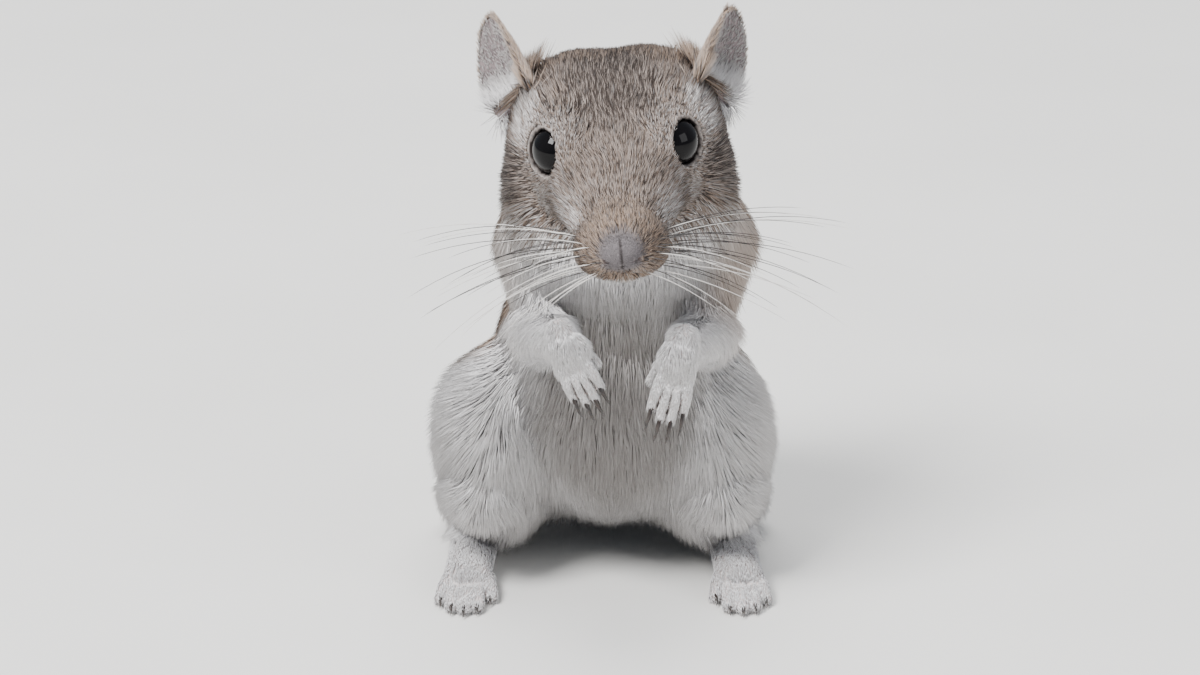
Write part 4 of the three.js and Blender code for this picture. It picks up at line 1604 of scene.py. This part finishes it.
@dataclass
class Coat:
    """The fur of the whole animal: zones with their own lie, length and closeness, sown over the skin."""

    anatomy: Anatomy
    markings: Markings
    skin: Skin
    thin: float = 1.0
    most: int = 33000

    def from_nose(self, p: Array) -> Array:
        """The head's lie: away from the nose tip, and down over the cheeks.

        Args:
            p: points of the animal's frame, one row each.

        Returns:
            One direction for each point.
        """
        q = self.anatomy.frame.to_head(p)
        away = unit(q - np.array([0.0, -15.8, -7.2]))
        cheek = smooth_step(1.0, -8.0, q[:, 2]) * smooth_step(-10.0, 2.0, q[:, 1])
        away[:, 2] -= 0.7 * cheek
        return away @ self.anatomy.frame.head_turn.T

    def downwards(self, p: Array) -> Array:
        """The trunk's lie: down, slightly outwards, forwards on the chest and backwards on the flank."""
        y = np.clip(p[:, 1] / 20.0, -0.4, 0.7)
        side = np.clip((p[:, 0] - self.anatomy.trunk_side) / 18.0, -1, 1)
        return unit(np.stack([side * 0.12, y * 0.6 + 0.08, -np.ones(len(p))], axis=1))

    def over_haunch(self, p: Array) -> Array:
        """The haunches' lie: down, and further out also outwards and back."""
        side = p[:, 0] - self.anatomy.trunk_side
        out = smooth_step(8.0, 18.0, np.abs(side))
        return unit(np.stack([np.sign(side) * 0.5 * out, 0.4 * out - 0.05, -np.ones(len(p))], axis=1))

    def tail_way(self, p: Array) -> Array:
        """The tail's lie: the direction of its middle line at the nearest place along Y."""
        line, _ = self.anatomy.tail_at(200)
        way = slopes(line)
        return np.stack([np.interp(p[:, 1], line[:, 1], way[:, k]) for k in range(3)], axis=1)

    def tail_distance(self, p: Array) -> Array:
        """Distance from the tail, by its middle line's nearest place along Y."""
        line, radii = self.anatomy.tail_at(200)
        x, z, r = (np.interp(p[:, 1], line[:, 1], v) for v in (line[:, 0], line[:, 2], radii))
        return np.hypot(p[:, 0] - x, p[:, 2] - z) - r + 4.0 * smooth_step(30.0, 24.0, p[:, 1])

    def zones(self) -> list[Zone]:
        """The coat's zones, from nose to tail, then the limbs' on each side.

        Returns:
            The zones; the two sides' share their names.
        """
        a = self.anatomy
        to_head = a.frame.to_head
        kinds = [
            ("snout", lambda p: a.snout(to_head(p)), self.from_nose),
            ("crown", lambda p: a.skull(to_head(p)), self.from_nose),
            ("neck", a.neck, self.downwards),
            ("trunk", a.trunk, self.downwards),
            ("tail", self.tail_distance, self.tail_way),
        ]
        for side in Side:
            down, _ = a.paw_axes(side)
            _, ahead, _ = a.foot_axes(side)
            kinds += [
                ("thigh", lambda p, s=side: a.thigh(p, s), self.over_haunch),
                ("shank", lambda p, s=side: a.shank(p, s) + 0.8, one_way(a.ankle(side) - a.knee(side))),
                ("arm", lambda p, s=side: a.upper_arm(p, s), one_way((0, -0.2, -1))),
                ("forearm", lambda p, s=side: a.forearm(p, s), one_way((0, -0.35, -1))),
                ("paw", lambda p, s=side: a.paw(p, s), one_way(down)),
                ("foot", lambda p, s=side: a.foot(p, s), one_way(ahead)),
            ]
        return [Zone(name, distance, lie, PELTS[name]) for name, distance, lie in kinds]

    def weights(self, zones: list[Zone], p: Array) -> Array:
        """Each zone's share at each point: exp(-distance / 1 mm), made to add up to one.

        Args:
            zones: the coat's zones.
            p: points of the animal's frame, one row each.

        Returns:
            One row for each point, one column for each zone.
        """
        distances = np.stack([zone.distance(p) for zone in zones], axis=1)
        closeness = np.exp(distances.min(1, keepdims=True) - distances)
        return closeness / closeness.sum(1, keepdims=True)

    def density(self, zones: list[Zone]) -> Field:
        """Tufts on each square millimetre, by the zones' shares: none on eyes, nostrils and mouth.

        Args:
            zones: the coat's zones.

        Returns:
            The density as a function of points.
        """
        a = self.anatomy
        each = np.array([zone.pelt.density for zone in zones]) * self.thin

        def at(p: Array) -> Array:
            """The density at points."""
            q = a.frame.to_head(p)
            clear = (a.frame.eye_distance(q) > a.eye_radius + 0.5) & (a.nostrils(q, [0.7, 1.1, 0.6]) > 1)
            clear = clear & (a.mouth(q, 0.28) > 0) & (p[:, 2] > 0.15)
            near_face = 1 + 0.35 * smooth_step(-4, -14, p[:, 1]) * smooth_step(38, 46, p[:, 2])
            return self.weights(zones, p) @ each * clear * near_face

        return at

    def round_eyes(self, growth: Growth) -> None:
        """Shortens the tufts at the eyes and turns them away from the eyeballs."""
        head_frame = self.anatomy.frame
        for side in Side:
            away = growth.q - head_frame.eye(side)
            close = 1 - smooth_step(3.4, 6.4, np.linalg.norm(away, axis=1))
            growth.lie = unit(growth.lie) + 1.3 * close[:, None] * (unit(away) @ head_frame.head_turn.T)
            growth.scale(1 - 0.7 * close, 1 - 0.7 * close, 1 - 0.35 * close)

    def round_ears(self, growth: Growth) -> None:
        """Lengthens the tufts at the ears' roots and turns them up along the ears."""
        head_frame = self.anatomy.frame
        for side in Side:
            root, axis = head_frame.ear_root(side)
            reach = np.linalg.norm((growth.q - root - 4.5 * axis) / [5.0, 6.5, 6.5], axis=1)
            near = 1 - smooth_step(0.5, 1.0, reach)
            towards = unit(axis + np.array([side.sign * 0.75, -0.1, 0.0])) @ head_frame.head_turn.T
            growth.lie = unit(growth.lie) * (1 - 0.8 * near[:, None]) + near[:, None] * towards
            growth.scale(1 + 1.5 * near, 1 + 0.5 * near)

    def trim(self, growth: Growth, on_head: Array, on_tail: Array) -> None:
        """Shortens the fur of the nose's pad and above the floor, and lengthens the tail's brush.

        Args:
            growth: the tufts.
            on_head: each tuft's share in the head's zones.
            on_tail: its share in the tail's zone.
        """
        p = growth.p
        pad = 1 - smooth_step(1.8, 3.0, np.linalg.norm(growth.q - [0, -15.4, -6.3], axis=1))
        growth.scale(1 - 0.72 * pad, 1 - 0.7 * pad, 1 - 0.4 * pad)
        hem, legs = 1 - smooth_step(4.0, 12.0, p[:, 2]), 1 - on_head - on_tail
        growth.scale(1 - 0.5 * hem * legs * smooth_step(2.0, 5.0, growth.length))
        growth.scale(1 + hem * legs * smooth_step(2.5, 5.0, p[:, 2]))
        brush = smooth_step(78.0, 110.0, p[:, 1])
        growth.scale(1 + 2.6 * brush, 1 + 1.6 * brush, 1 + 0.6 * brush)

    def grow(self, vertices: Array, quads: Array, marks: Array) -> tuple[Tufts, Array]:
        """Grows the tufts from the skin.

        Args:
            vertices: the skin's points.
            quads: its faces.
            marks: its unwrap, for each corner.

        Returns:
            The tufts, and the number of the zone that each is most in.
        """
        rng = np.random.default_rng(SEED)
        zones = self.zones()
        roots = scatter(vertices, quads, marks, self.density(zones), rng)
        p, n, count = roots.place, roots.normal, len(roots.place)
        q = self.anatomy.frame.to_head(p)
        shares = self.weights(zones, p)
        on_head, on_tail = shares[:, 0] + shares[:, 1], shares[:, 4]
        lie = sum(shares[:, [i]] * zone.lie(p) for i, zone in enumerate(zones))
        sizes = (shares @ np.array([getattr(z.pelt, k) for z in zones]) for k in ("length", "depth", "width"))
        growth = Growth(p, q, lie, *sizes)
        growth.scale(1 + 0.8 * on_head * smooth_step(-2.0, -9.0, q[:, 2]) * smooth_step(-10, -2, q[:, 1]))
        self.round_eyes(growth)
        self.round_ears(growth)
        self.trim(growth, on_head, on_tail)
        lie = unit(growth.lie - (growth.lie * n).sum(1)[:, None] * n)
        loose = 0.4 + 0.6 * on_head[:, None]
        waves = 0.2 * ripple(p, 3.2, 5) + 0.14 * ripple(p, 1.3, 7)
        lie = lie + loose * waves + 0.09 * rng.normal(size=(count, 3))
        length = growth.length * rng.uniform(0.72, 1.12, count)
        rise = np.clip(growth.depth / length * rng.uniform(0.7, 1.05, count), 0.04, 0.75)
        width = growth.width * rng.uniform(0.75, 1.25, count)
        # No tip reaches below the floor: a tuft is at most as long as its root is high over its fall.
        flat = unit(lie - (lie * n).sum(1)[:, None] * n)
        falls = np.maximum(-flat[:, 2] * np.sqrt(1 - rise**2) - n[:, 2] * rise, 0.02)
        length = np.minimum(length, np.maximum(p[:, 2] - 0.05, 0.1) / falls)
        return Tufts(roots, lie, length, width, rise), shares.argmax(1)

    def build(self, vertices: Array, quads: Array, marks: Array) -> int:
        """Makes the coat's pieces, one row of them for each zone's name.

        Args:
            vertices: the skin's points.
            quads: its faces.
            marks: its unwrap, for each corner.

        Returns:
            How many tufts there are.
        """
        tufts, zone = self.grow(vertices, quads, marks)
        rng = np.random.default_rng(SEED + 1)
        grain = rng.random(len(zone))
        picked = 0.85 * (rng.random(len(zone)) - 0.5)
        name_of = np.array([z.name for z in self.zones()])[zone]
        material = Fur().hair()
        for name in PELTS:
            chosen = np.nonzero(name_of == name)[0]
            chosen = chosen[np.argsort(tufts.roots.place[chosen, 1], kind="stable")]
            parts = np.array_split(chosen, math.ceil(len(chosen) / self.most))
            for part, members in enumerate(parts, 1):
                some = tufts.take(members)
                masks = self.markings.masks(some.roots.place)
                end = smooth_step(76.0, 106.0, some.roots.place[:, 1])
                masks["back"] = smooth_step(0.2, 0.8, masks["back"] + picked[members])
                masks |= {"sand": masks["sand"] * (1 - end), "soot": np.maximum(masks["soot"], 0.9 * end)}
                piece = some.build(f"coat_{name}_{part}", masks, grain[members], self.skin.shift)
                dress(piece, material)
        return len(zone)


@dataclass
class Eyes:
    """Two glossy dark eyeballs in the lids."""

    anatomy: Anatomy
    shift: Array
    rows: int = 40

    def ball(self, side: Side) -> Shape:
        """An eyeball: centre + radius (sin a cos b, sin a sin b, cos a) over a grid of a and b.

        Args:
            side: which side.

        Returns:
            The vertices and the quads.
        """
        around = 2 * self.rows
        a = np.linspace(1e-3, math.pi - 1e-3, self.rows)
        b = np.linspace(0, 2 * math.pi, around, endpoint=False)
        a, b = np.meshgrid(a, b, indexing="ij")
        ball = np.stack([np.sin(a) * np.cos(b), np.sin(a) * np.sin(b), np.cos(a)], axis=-1)
        local = self.anatomy.frame.eye(side) + self.anatomy.eye_radius * ball.reshape(-1, 3)
        return self.anatomy.frame.from_head(local), grid_quads(self.rows, around)

    def build(self) -> None:
        """Makes both eyes."""
        material = EYE.material()
        for side in Side:
            eye = make_mesh(f"eyeball_{side.word}", *self.ball(side), self.shift)
            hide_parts(f"eye_{side.word}")
            dress(eye, material)


@dataclass
class Claws:
    """Dark curved claws on every finger and toe."""

    anatomy: Anatomy
    shift: Array

    def claw(self, points: Array, thick: float) -> Shape:
        """A claw: a flattened section carried along a curve, thick near its root and fine at the tip.

        Args:
            points: the middle line's points.
            thick: its greatest radius.

        Returns:
            The vertices and the quads.
        """
        count = 12
        t = np.linspace(0, 1, count)
        radii = thick * np.minimum(1, (t * 12) ** 0.5) * (1 - t**1.6) ** 0.9 + 0.012
        radii[0] = 0.0
        return tube(curve_through(points, count), radii, 8, 0.75)

    def finger_claw(self, side: Side, reach: float, spread: float) -> Shape:
        """One claw of a forepaw, which bends back towards the chest.

        Args:
            side: which side.
            reach: how far ahead it reaches.
            spread: how far aside it stands.

        Returns:
            The vertices and the quads.
        """
        places = ((-0.5, 1.38, 0.0), (0.8, 1.45, -0.4), (1.9, 1.5, -0.1), (2.8, 1.47, 0.6))
        at = self.anatomy.paw_point
        points = [at(side, reach + ahead, spread * wide, behind) for ahead, wide, behind in places]
        return self.claw(np.array(points), 0.38)

    def toe_claw(self, side: Side, reach: float, spread: float) -> Shape:
        """One claw of a hind foot, which arches down to the floor.

        Args:
            side: which side.
            reach: how far ahead it reaches.
            spread: how far aside it stands.

        Returns:
            The vertices and the quads.
        """
        _, ahead, _ = self.anatomy.foot_axes(side)
        tip = self.anatomy.toe_line(side, reach, spread)[-1]
        lifts = ((-0.5, 1.0), (0.6, 1.1), (1.4, 0.8), (2.0, 0.3))
        points = [tip * [1, 1, 0] + ahead * out + np.array([0, 0, up]) for out, up in lifts]
        return self.claw(np.array(points), 0.33)

    def build(self) -> None:
        """Makes one piece of claws for each paw and foot."""
        material = CLAW.material()
        for side in Side:
            paw = joined([self.finger_claw(side, *finger) for finger in self.anatomy.FINGERS])
            foot = joined([self.toe_claw(side, *toe) for toe in self.anatomy.TOES])
            dress(make_mesh(f"claws_paw_{side.word}", *paw, self.shift), material)
            dress(make_mesh(f"claws_foot_{side.word}", *foot, self.shift), material)


@dataclass
class Whiskers:
    """Long fine hairs that fan out of the whisker pads and droop, some dark and some pale."""

    anatomy: Anatomy
    shift: Array
    rows: int = 5
    columns: int = 6

    def hair(self, side: Side, row: int, column: int, rng: np.random.Generator) -> Shape:
        """One whisker: its path is root + reach (s out + s^2 droop), with s from 0 to 1.

        Args:
            side: which side of the muzzle.
            row: its row on the pad, from below.
            column: its place in the row, from the front.
            rng: the source of chance.

        Returns:
            A thin tube that starts just under the skin.
        """
        up, back = row / (self.rows - 1), column / (self.columns - 1)
        root = np.array([side.sign * (2.7 + 1.5 * back + 0.6 * up), -13.2 + 3.9 * back, -9.0 + 3.0 * up])
        root = root + rng.normal(size=3) * 0.12
        gradient, here = slope_of(self.anatomy.head, root[None])
        root = root - (gradient * (here[:, None] + 0.35) / (gradient**2).sum(1)[:, None])[0]
        ahead = -0.28 + 0.75 * back + rng.normal() * 0.06
        rise = -0.3 + 0.5 * up + rng.normal() * 0.06
        out = unit(np.array([side.sign, ahead, rise]))
        reach = (8.0 + 15.0 * back) * rng.uniform(0.85, 1.15)
        s = np.linspace(0, 1, 12)[:, None]
        droop = np.array([0.0, 0.12, -0.3 - 0.12 * rng.random()])
        local = root + reach * (s * out + s**2 * droop)
        radii = 0.07 * (1 - 0.75 * s[:, 0])
        radii[0] = radii[-1] = 0.0
        return tube(self.anatomy.frame.from_head(local), radii, 4)

    def build(self) -> None:
        """Makes the whiskers in two pieces, dark and pale."""
        rng = np.random.default_rng(SEED + 2)
        kinds = {"dark": (WHISKER_DARK, []), "pale": (WHISKER_PALE, [])}
        for side in Side:
            for row, column in np.ndindex(self.rows, self.columns):
                kind = "dark" if row > 0 and rng.random() < 0.75 else "pale"
                kinds[kind][1].append(self.hair(side, row, column, rng))
        for kind, (finish, hairs) in kinds.items():
            whiskers = make_mesh(f"whiskers_{kind}", *joined(hairs), self.shift)
            dress(whiskers, finish.material())


@dataclass
class Ears:
    """Thin cupped ears: a crescent section carried from root to tip, with short fur and pale inner hairs.

    Attributes:
        anatomy: the flesh that they stand on.
        shift: where the animal's origin is in the part's frame.
        length: an ear's length.
        width: its width.
        rows: how many sections it has.
        around: how many points a section has.
        swivel: each ear's lean outwards, the turn of its cup, and its relative length.
    """

    anatomy: Anatomy
    shift: Array
    length: float = 13.8
    width: float = 8.8
    rows: int = 40
    around: int = 48
    swivel: dict[Side, tuple[float, float, float]] = field(
        default_factory=lambda: {Side.RIGHT: (0.46, 0.76, 1.0), Side.LEFT: (0.6, 0.88, 0.95)}
    )

    def axes(self, side: Side) -> tuple[Array, Array, Array, Array]:
        """An ear's root, its axis, the way its cup looks, and the way across, in the head's frame.

        Args:
            side: which side.

        Returns:
            A point and three unit directions.
        """
        lean, turn, _ = self.swivel[side]
        axis = unit(np.array([side.sign * lean, 0.2, 0.95]))
        look = np.array([side.sign * turn, -0.62, 0.12])
        look = unit(look - (look @ axis) * axis)
        return self.anatomy.frame.ear_root(side)[0], axis, look, np.cross(axis, look)

    def surface(self, side: Side, u: Array, angle: Array, thin: float = 0.75) -> Array:
        """Points of an ear, in the animal's frame.

        Half the width is w(u) = W/2 sin(pi (0.12 + 0.88 u))^0.56. A point is the root, plus the length along
        the axis, plus w cos(angle) across, plus the cup's w cos^2(angle), the thickness and a bend back with
        u^2, all along the way the cup looks.

        Args:
            side: which ear.
            u: the share of the length.
            angle: the place round the section; the cup is where its sine is positive.
            thin: the thickness as a share of the solid's.

        Returns:
            The points.
        """
        root, axis, look, across = self.axes(side)
        length = self.length * self.swivel[side][2] + 1
        half = self.width / 2 * np.sin(math.pi * np.minimum(1, 0.12 + 0.88 * u)) ** 0.56
        half = np.where(u >= 1, 0.0, half)
        cup = (0.62 + (0.3 - 0.62) * u) * half
        thick = (0.85 + (0.42 - 0.85) * u) * np.sign(np.sin(angle)) * np.abs(np.sin(angle)) ** 0.6 * thin
        thick = thick * np.minimum(1.0, half / 0.6)
        front = cup * np.cos(angle) ** 2 + thick - 1.6 * u**2
        local = root + axis * (length * u - 1)[..., None]
        local = local + across * (half * np.cos(angle))[..., None] + look * front[..., None]
        return self.anatomy.frame.from_head(local)

    def shape(self, side: Side) -> tuple[Array, Array, Array]:
        """One ear's vertices, its quads, which face outwards, and the angle of each vertex.

        Args:
            side: which side.

        Returns:
            The vertices, the quads and the angles.
        """
        u = 1 - (1 - np.linspace(0, 1, self.rows)) ** 1.5
        angle = np.linspace(0, 2 * math.pi, self.around, endpoint=False)
        u, angle = (grid.ravel() for grid in np.meshgrid(u, angle, indexing="ij"))
        vertices = self.surface(side, u, angle)
        quads = grid_quads(self.rows, self.around)
        first, second, _, last = (vertices[quads[:, k]] for k in range(4))
        normal = np.cross(second - first, last - first)
        if (normal * (first - vertices.mean(0))).sum() < 0:
            quads = quads[:, ::-1]
        return vertices, quads, angle

    def material(self) -> bpy.types.Material:
        """Bare skin inside, greyish pink, and the same sandy fur colour outside.

        Returns:
            The material.
        """
        nodes = Nodes("ear")
        mottle = nodes.noise(nodes.place(), 1100.0)
        inner = nodes.mix(mottle.held(0.3, 0.7), linear(140, 127, 127), linear(112, 101, 102))
        outer = nodes.mix(mottle.held(0.3, 0.7), linear(176, 146, 116), linear(150, 122, 98))
        color = nodes.mix(nodes.attribute("inside"), outer, inner)
        bump = nodes.bump(mottle, 0.3, 0.0001)
        inputs = {"Base Color": color, "Roughness": 0.7, "Specular IOR Level": 0.3, "Normal": bump}
        return nodes.surface(inputs)

    def tufts(
        self, side: Side, vertices: Array, quads: Array, marks: Array, rng: np.random.Generator
    ) -> tuple[Tufts, dict[str, Array], Array]:
        """The ear's hairs: short fur behind, fine down inside, and long pale hairs low in the cup.

        Args:
            side: which ear.
            vertices: the ear's points.
            quads: its faces.
            marks: its unwrap.
            rng: the source of chance.

        Returns:
            The tufts, their markings and their grain.
        """
        root, axis, look, across = self.axes(side)
        turn = self.anatomy.frame.head_turn.T
        roots = scatter(vertices, quads, marks, lambda p: np.full(len(p), 46.0), rng)
        q = self.anatomy.frame.to_head(roots.place)
        u = ((q - root) @ axis + 1) / (self.length + 1)
        inside = (roots.normal @ turn.T) @ look > 0.1
        inner_edge = ((q - root) @ across) * np.sign(across[0] * -side.sign) / (self.width / 2)
        low = smooth_step(0.62, 0.2, u)
        front = smooth_step(0.45, 0.8, inner_edge)
        length = np.where(inside, 0.7 + 2.6 * low, 1.05) + (0.9 + 1.4 * low) * front
        depth = np.where(inside, 0.22 + 0.9 * low, 0.28) + 0.3 * front
        sink = smooth_step(0.4, 0.05, u)[:, None]
        drape = axis * (0.9 - 2.4 * sink) + look * (0.25 * sink)
        inwards = np.array([-side.sign, 0.0, -0.3]) * (0.8 * front * low)[:, None]
        lie = (np.where(inside[:, None], drape, axis) + inwards) @ turn
        lie = lie + 0.2 * ripple(roots.place, 2.0, 11) + 0.12 * rng.normal(size=(len(u), 3))
        rise = np.clip(depth / length * rng.uniform(0.6, 1.1, len(u)), 0.05, 0.7)
        close = rng.random(len(u)) < np.where(inside, 0.35 + 0.6 * low, 1.0)
        keep = close & (self.anatomy.head(q) > -1.2)
        length = length * rng.uniform(0.8, 1.1, len(u))
        tufts = Tufts(roots, lie, length, np.full(len(u), 0.12), rise).take(keep)
        brown = np.where(inside, 0.45 * (1 - low), 0.75 * (1 - 0.8 * low))
        masks = {
            "back": np.maximum(brown, 0.7 * front),
            "sand": np.maximum(np.where(inside, 0.0, 0.8), 0.9 * front),
            "soot": np.where(inside, 0.4 * (1 - low), 0.2),
            "nose": np.zeros(len(u)),
        }
        masks = {name: mask[keep] for name, mask in masks.items()}
        return tufts, masks, rng.random(keep.sum())

    def build(self) -> None:
        """Makes both ears and their hairs."""
        material, fur = self.material(), Fur().hair()
        for side in Side:
            rng = np.random.default_rng(SEED + 10 + side.sign)
            vertices, quads, angle = self.shape(side)
            ear = make_mesh(f"ear_shell_{side.word}", vertices, quads, self.shift)
            carry(ear, "inside", smooth_step(-0.1, 0.25, np.sin(angle)))
            marks = unwrap(ear)
            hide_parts(f"ear_{side.word}")
            dress(ear, material)
            tufts, masks, grain = self.tufts(side, vertices, quads, marks, rng)
            dress(tufts.build(f"coat_ear_{side.word}", masks, grain, self.shift), fur)


@dataclass
class Studio:
    """A pale floor, a camera at the photo's place, and soft light.

    Attributes:
        target: what the camera looks at, in millimetres.
        elevation: how far it looks down, in degrees.
        distance: how far it is from the target, in millimetres.
        lens: its focal length on a sensor 36 mm wide.
    """

    target: tuple[float, float, float] = (-2.4, -5.0, 31.0)
    elevation: float = 20.0
    distance: float = 600.0
    lens: float = 150.3

    def floor(self) -> None:
        """A floor of two large quads at the height of the soles."""
        x, y = np.meshgrid([-3000.0, 0.0, 3000.0], [-3000.0, 3000.0], indexing="ij")
        vertices = np.stack([x.ravel(), y.ravel(), np.zeros(6)], axis=1)
        floor = make_mesh("floor", vertices, np.array([[0, 2, 3, 1], [2, 4, 5, 3]]), np.zeros(3), False)
        floor.data.materials.append(FLOOR.material())

    def camera(self, shift: Array) -> None:
        """The camera, level with the horizon, that looks down at the target by its elevation.

        Args:
            shift: where the animal's origin is in the part's frame.
        """
        data = bpy.data.cameras.new("camera")
        data.lens, data.sensor_width = self.lens, 36.0
        data.clip_start, data.clip_end = 0.01, 20.0
        camera = bpy.data.objects.new("camera", data)
        tilt = math.radians(self.elevation)
        back = np.array([0.0, -math.cos(tilt), math.sin(tilt)])
        place = (np.array(self.target) + shift + back * self.distance) * MM
        camera.location = Vector(place)
        camera.rotation_euler = (math.radians(90 - self.elevation), 0.0, 0.0)
        bpy.context.scene.collection.objects.link(camera)
        bpy.context.scene.camera = camera

    def lamp(
        self, name: str, place: Sequence[float], aim: Sequence[float], size: float, power: float
    ) -> None:
        """A square area light.

        Args:
            name: its name.
            place: where it is, in metres.
            aim: what it points at, in metres.
            size: its side, in metres.
            power: its power, in watts.
        """
        data = bpy.data.lights.new(name, "AREA")
        data.size, data.energy = size, power
        lamp = bpy.data.objects.new(name, data)
        lamp.location = Vector(place)
        lamp.rotation_euler = (Vector(aim) - Vector(place)).to_track_quat("-Z", "Y").to_euler()
        bpy.context.scene.collection.objects.link(lamp)

    def light(self) -> None:
        """A pale surround, a soft key from above and the left, and a weak fill."""
        world = bpy.data.worlds.new("surround")
        world.use_nodes = True
        surround = world.node_tree.nodes["Background"]
        surround.inputs["Color"].default_value = (0.8, 0.88, 1.0, 1.0)
        surround.inputs["Strength"].default_value = 0.5
        bpy.context.scene.world = world
        self.lamp("key", (-0.55, -0.6, 1.0), (0, -0.05, 0.03), 0.5, 28.0)
        self.lamp("fill", (0.8, -0.6, 0.5), (0, -0.05, 0.03), 0.6, 3.5)
        self.lamp("top", (0.0, 0.25, 1.1), (0, -0.03, 0.03), 0.7, 12.0)

    def build(self, shift: Array) -> None:
        """Makes the whole studio."""
        self.floor()
        self.camera(shift)
        self.light()


def main() -> None:
    """Builds the animal and its studio."""
    anatomy = Anatomy()
    shift = anatomy.frame.shift()
    markings = Markings(anatomy)
    coarse, thin = ((1.0, 1.0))
    Studio().build(shift)
    body = Skin(anatomy, markings, shift, coarse)
    skin, vertices, quads = body.build()
    marks = unwrap(skin)
    names = [name for name in frame["nodes"] if not name.startswith(("ear_", "eye_"))]
    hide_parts(*names)
    dress(skin, Fur().hide())
    count = Coat(anatomy, markings, body, thin).build(vertices, quads, marks)
    LOG.info("%d tufts", count)
    Eyes(anatomy, shift).build()
    Ears(anatomy, shift).build()
    Claws(anatomy, shift).build()
    Whiskers(anatomy, shift).build()


if __name__ == "__main__":
    main()
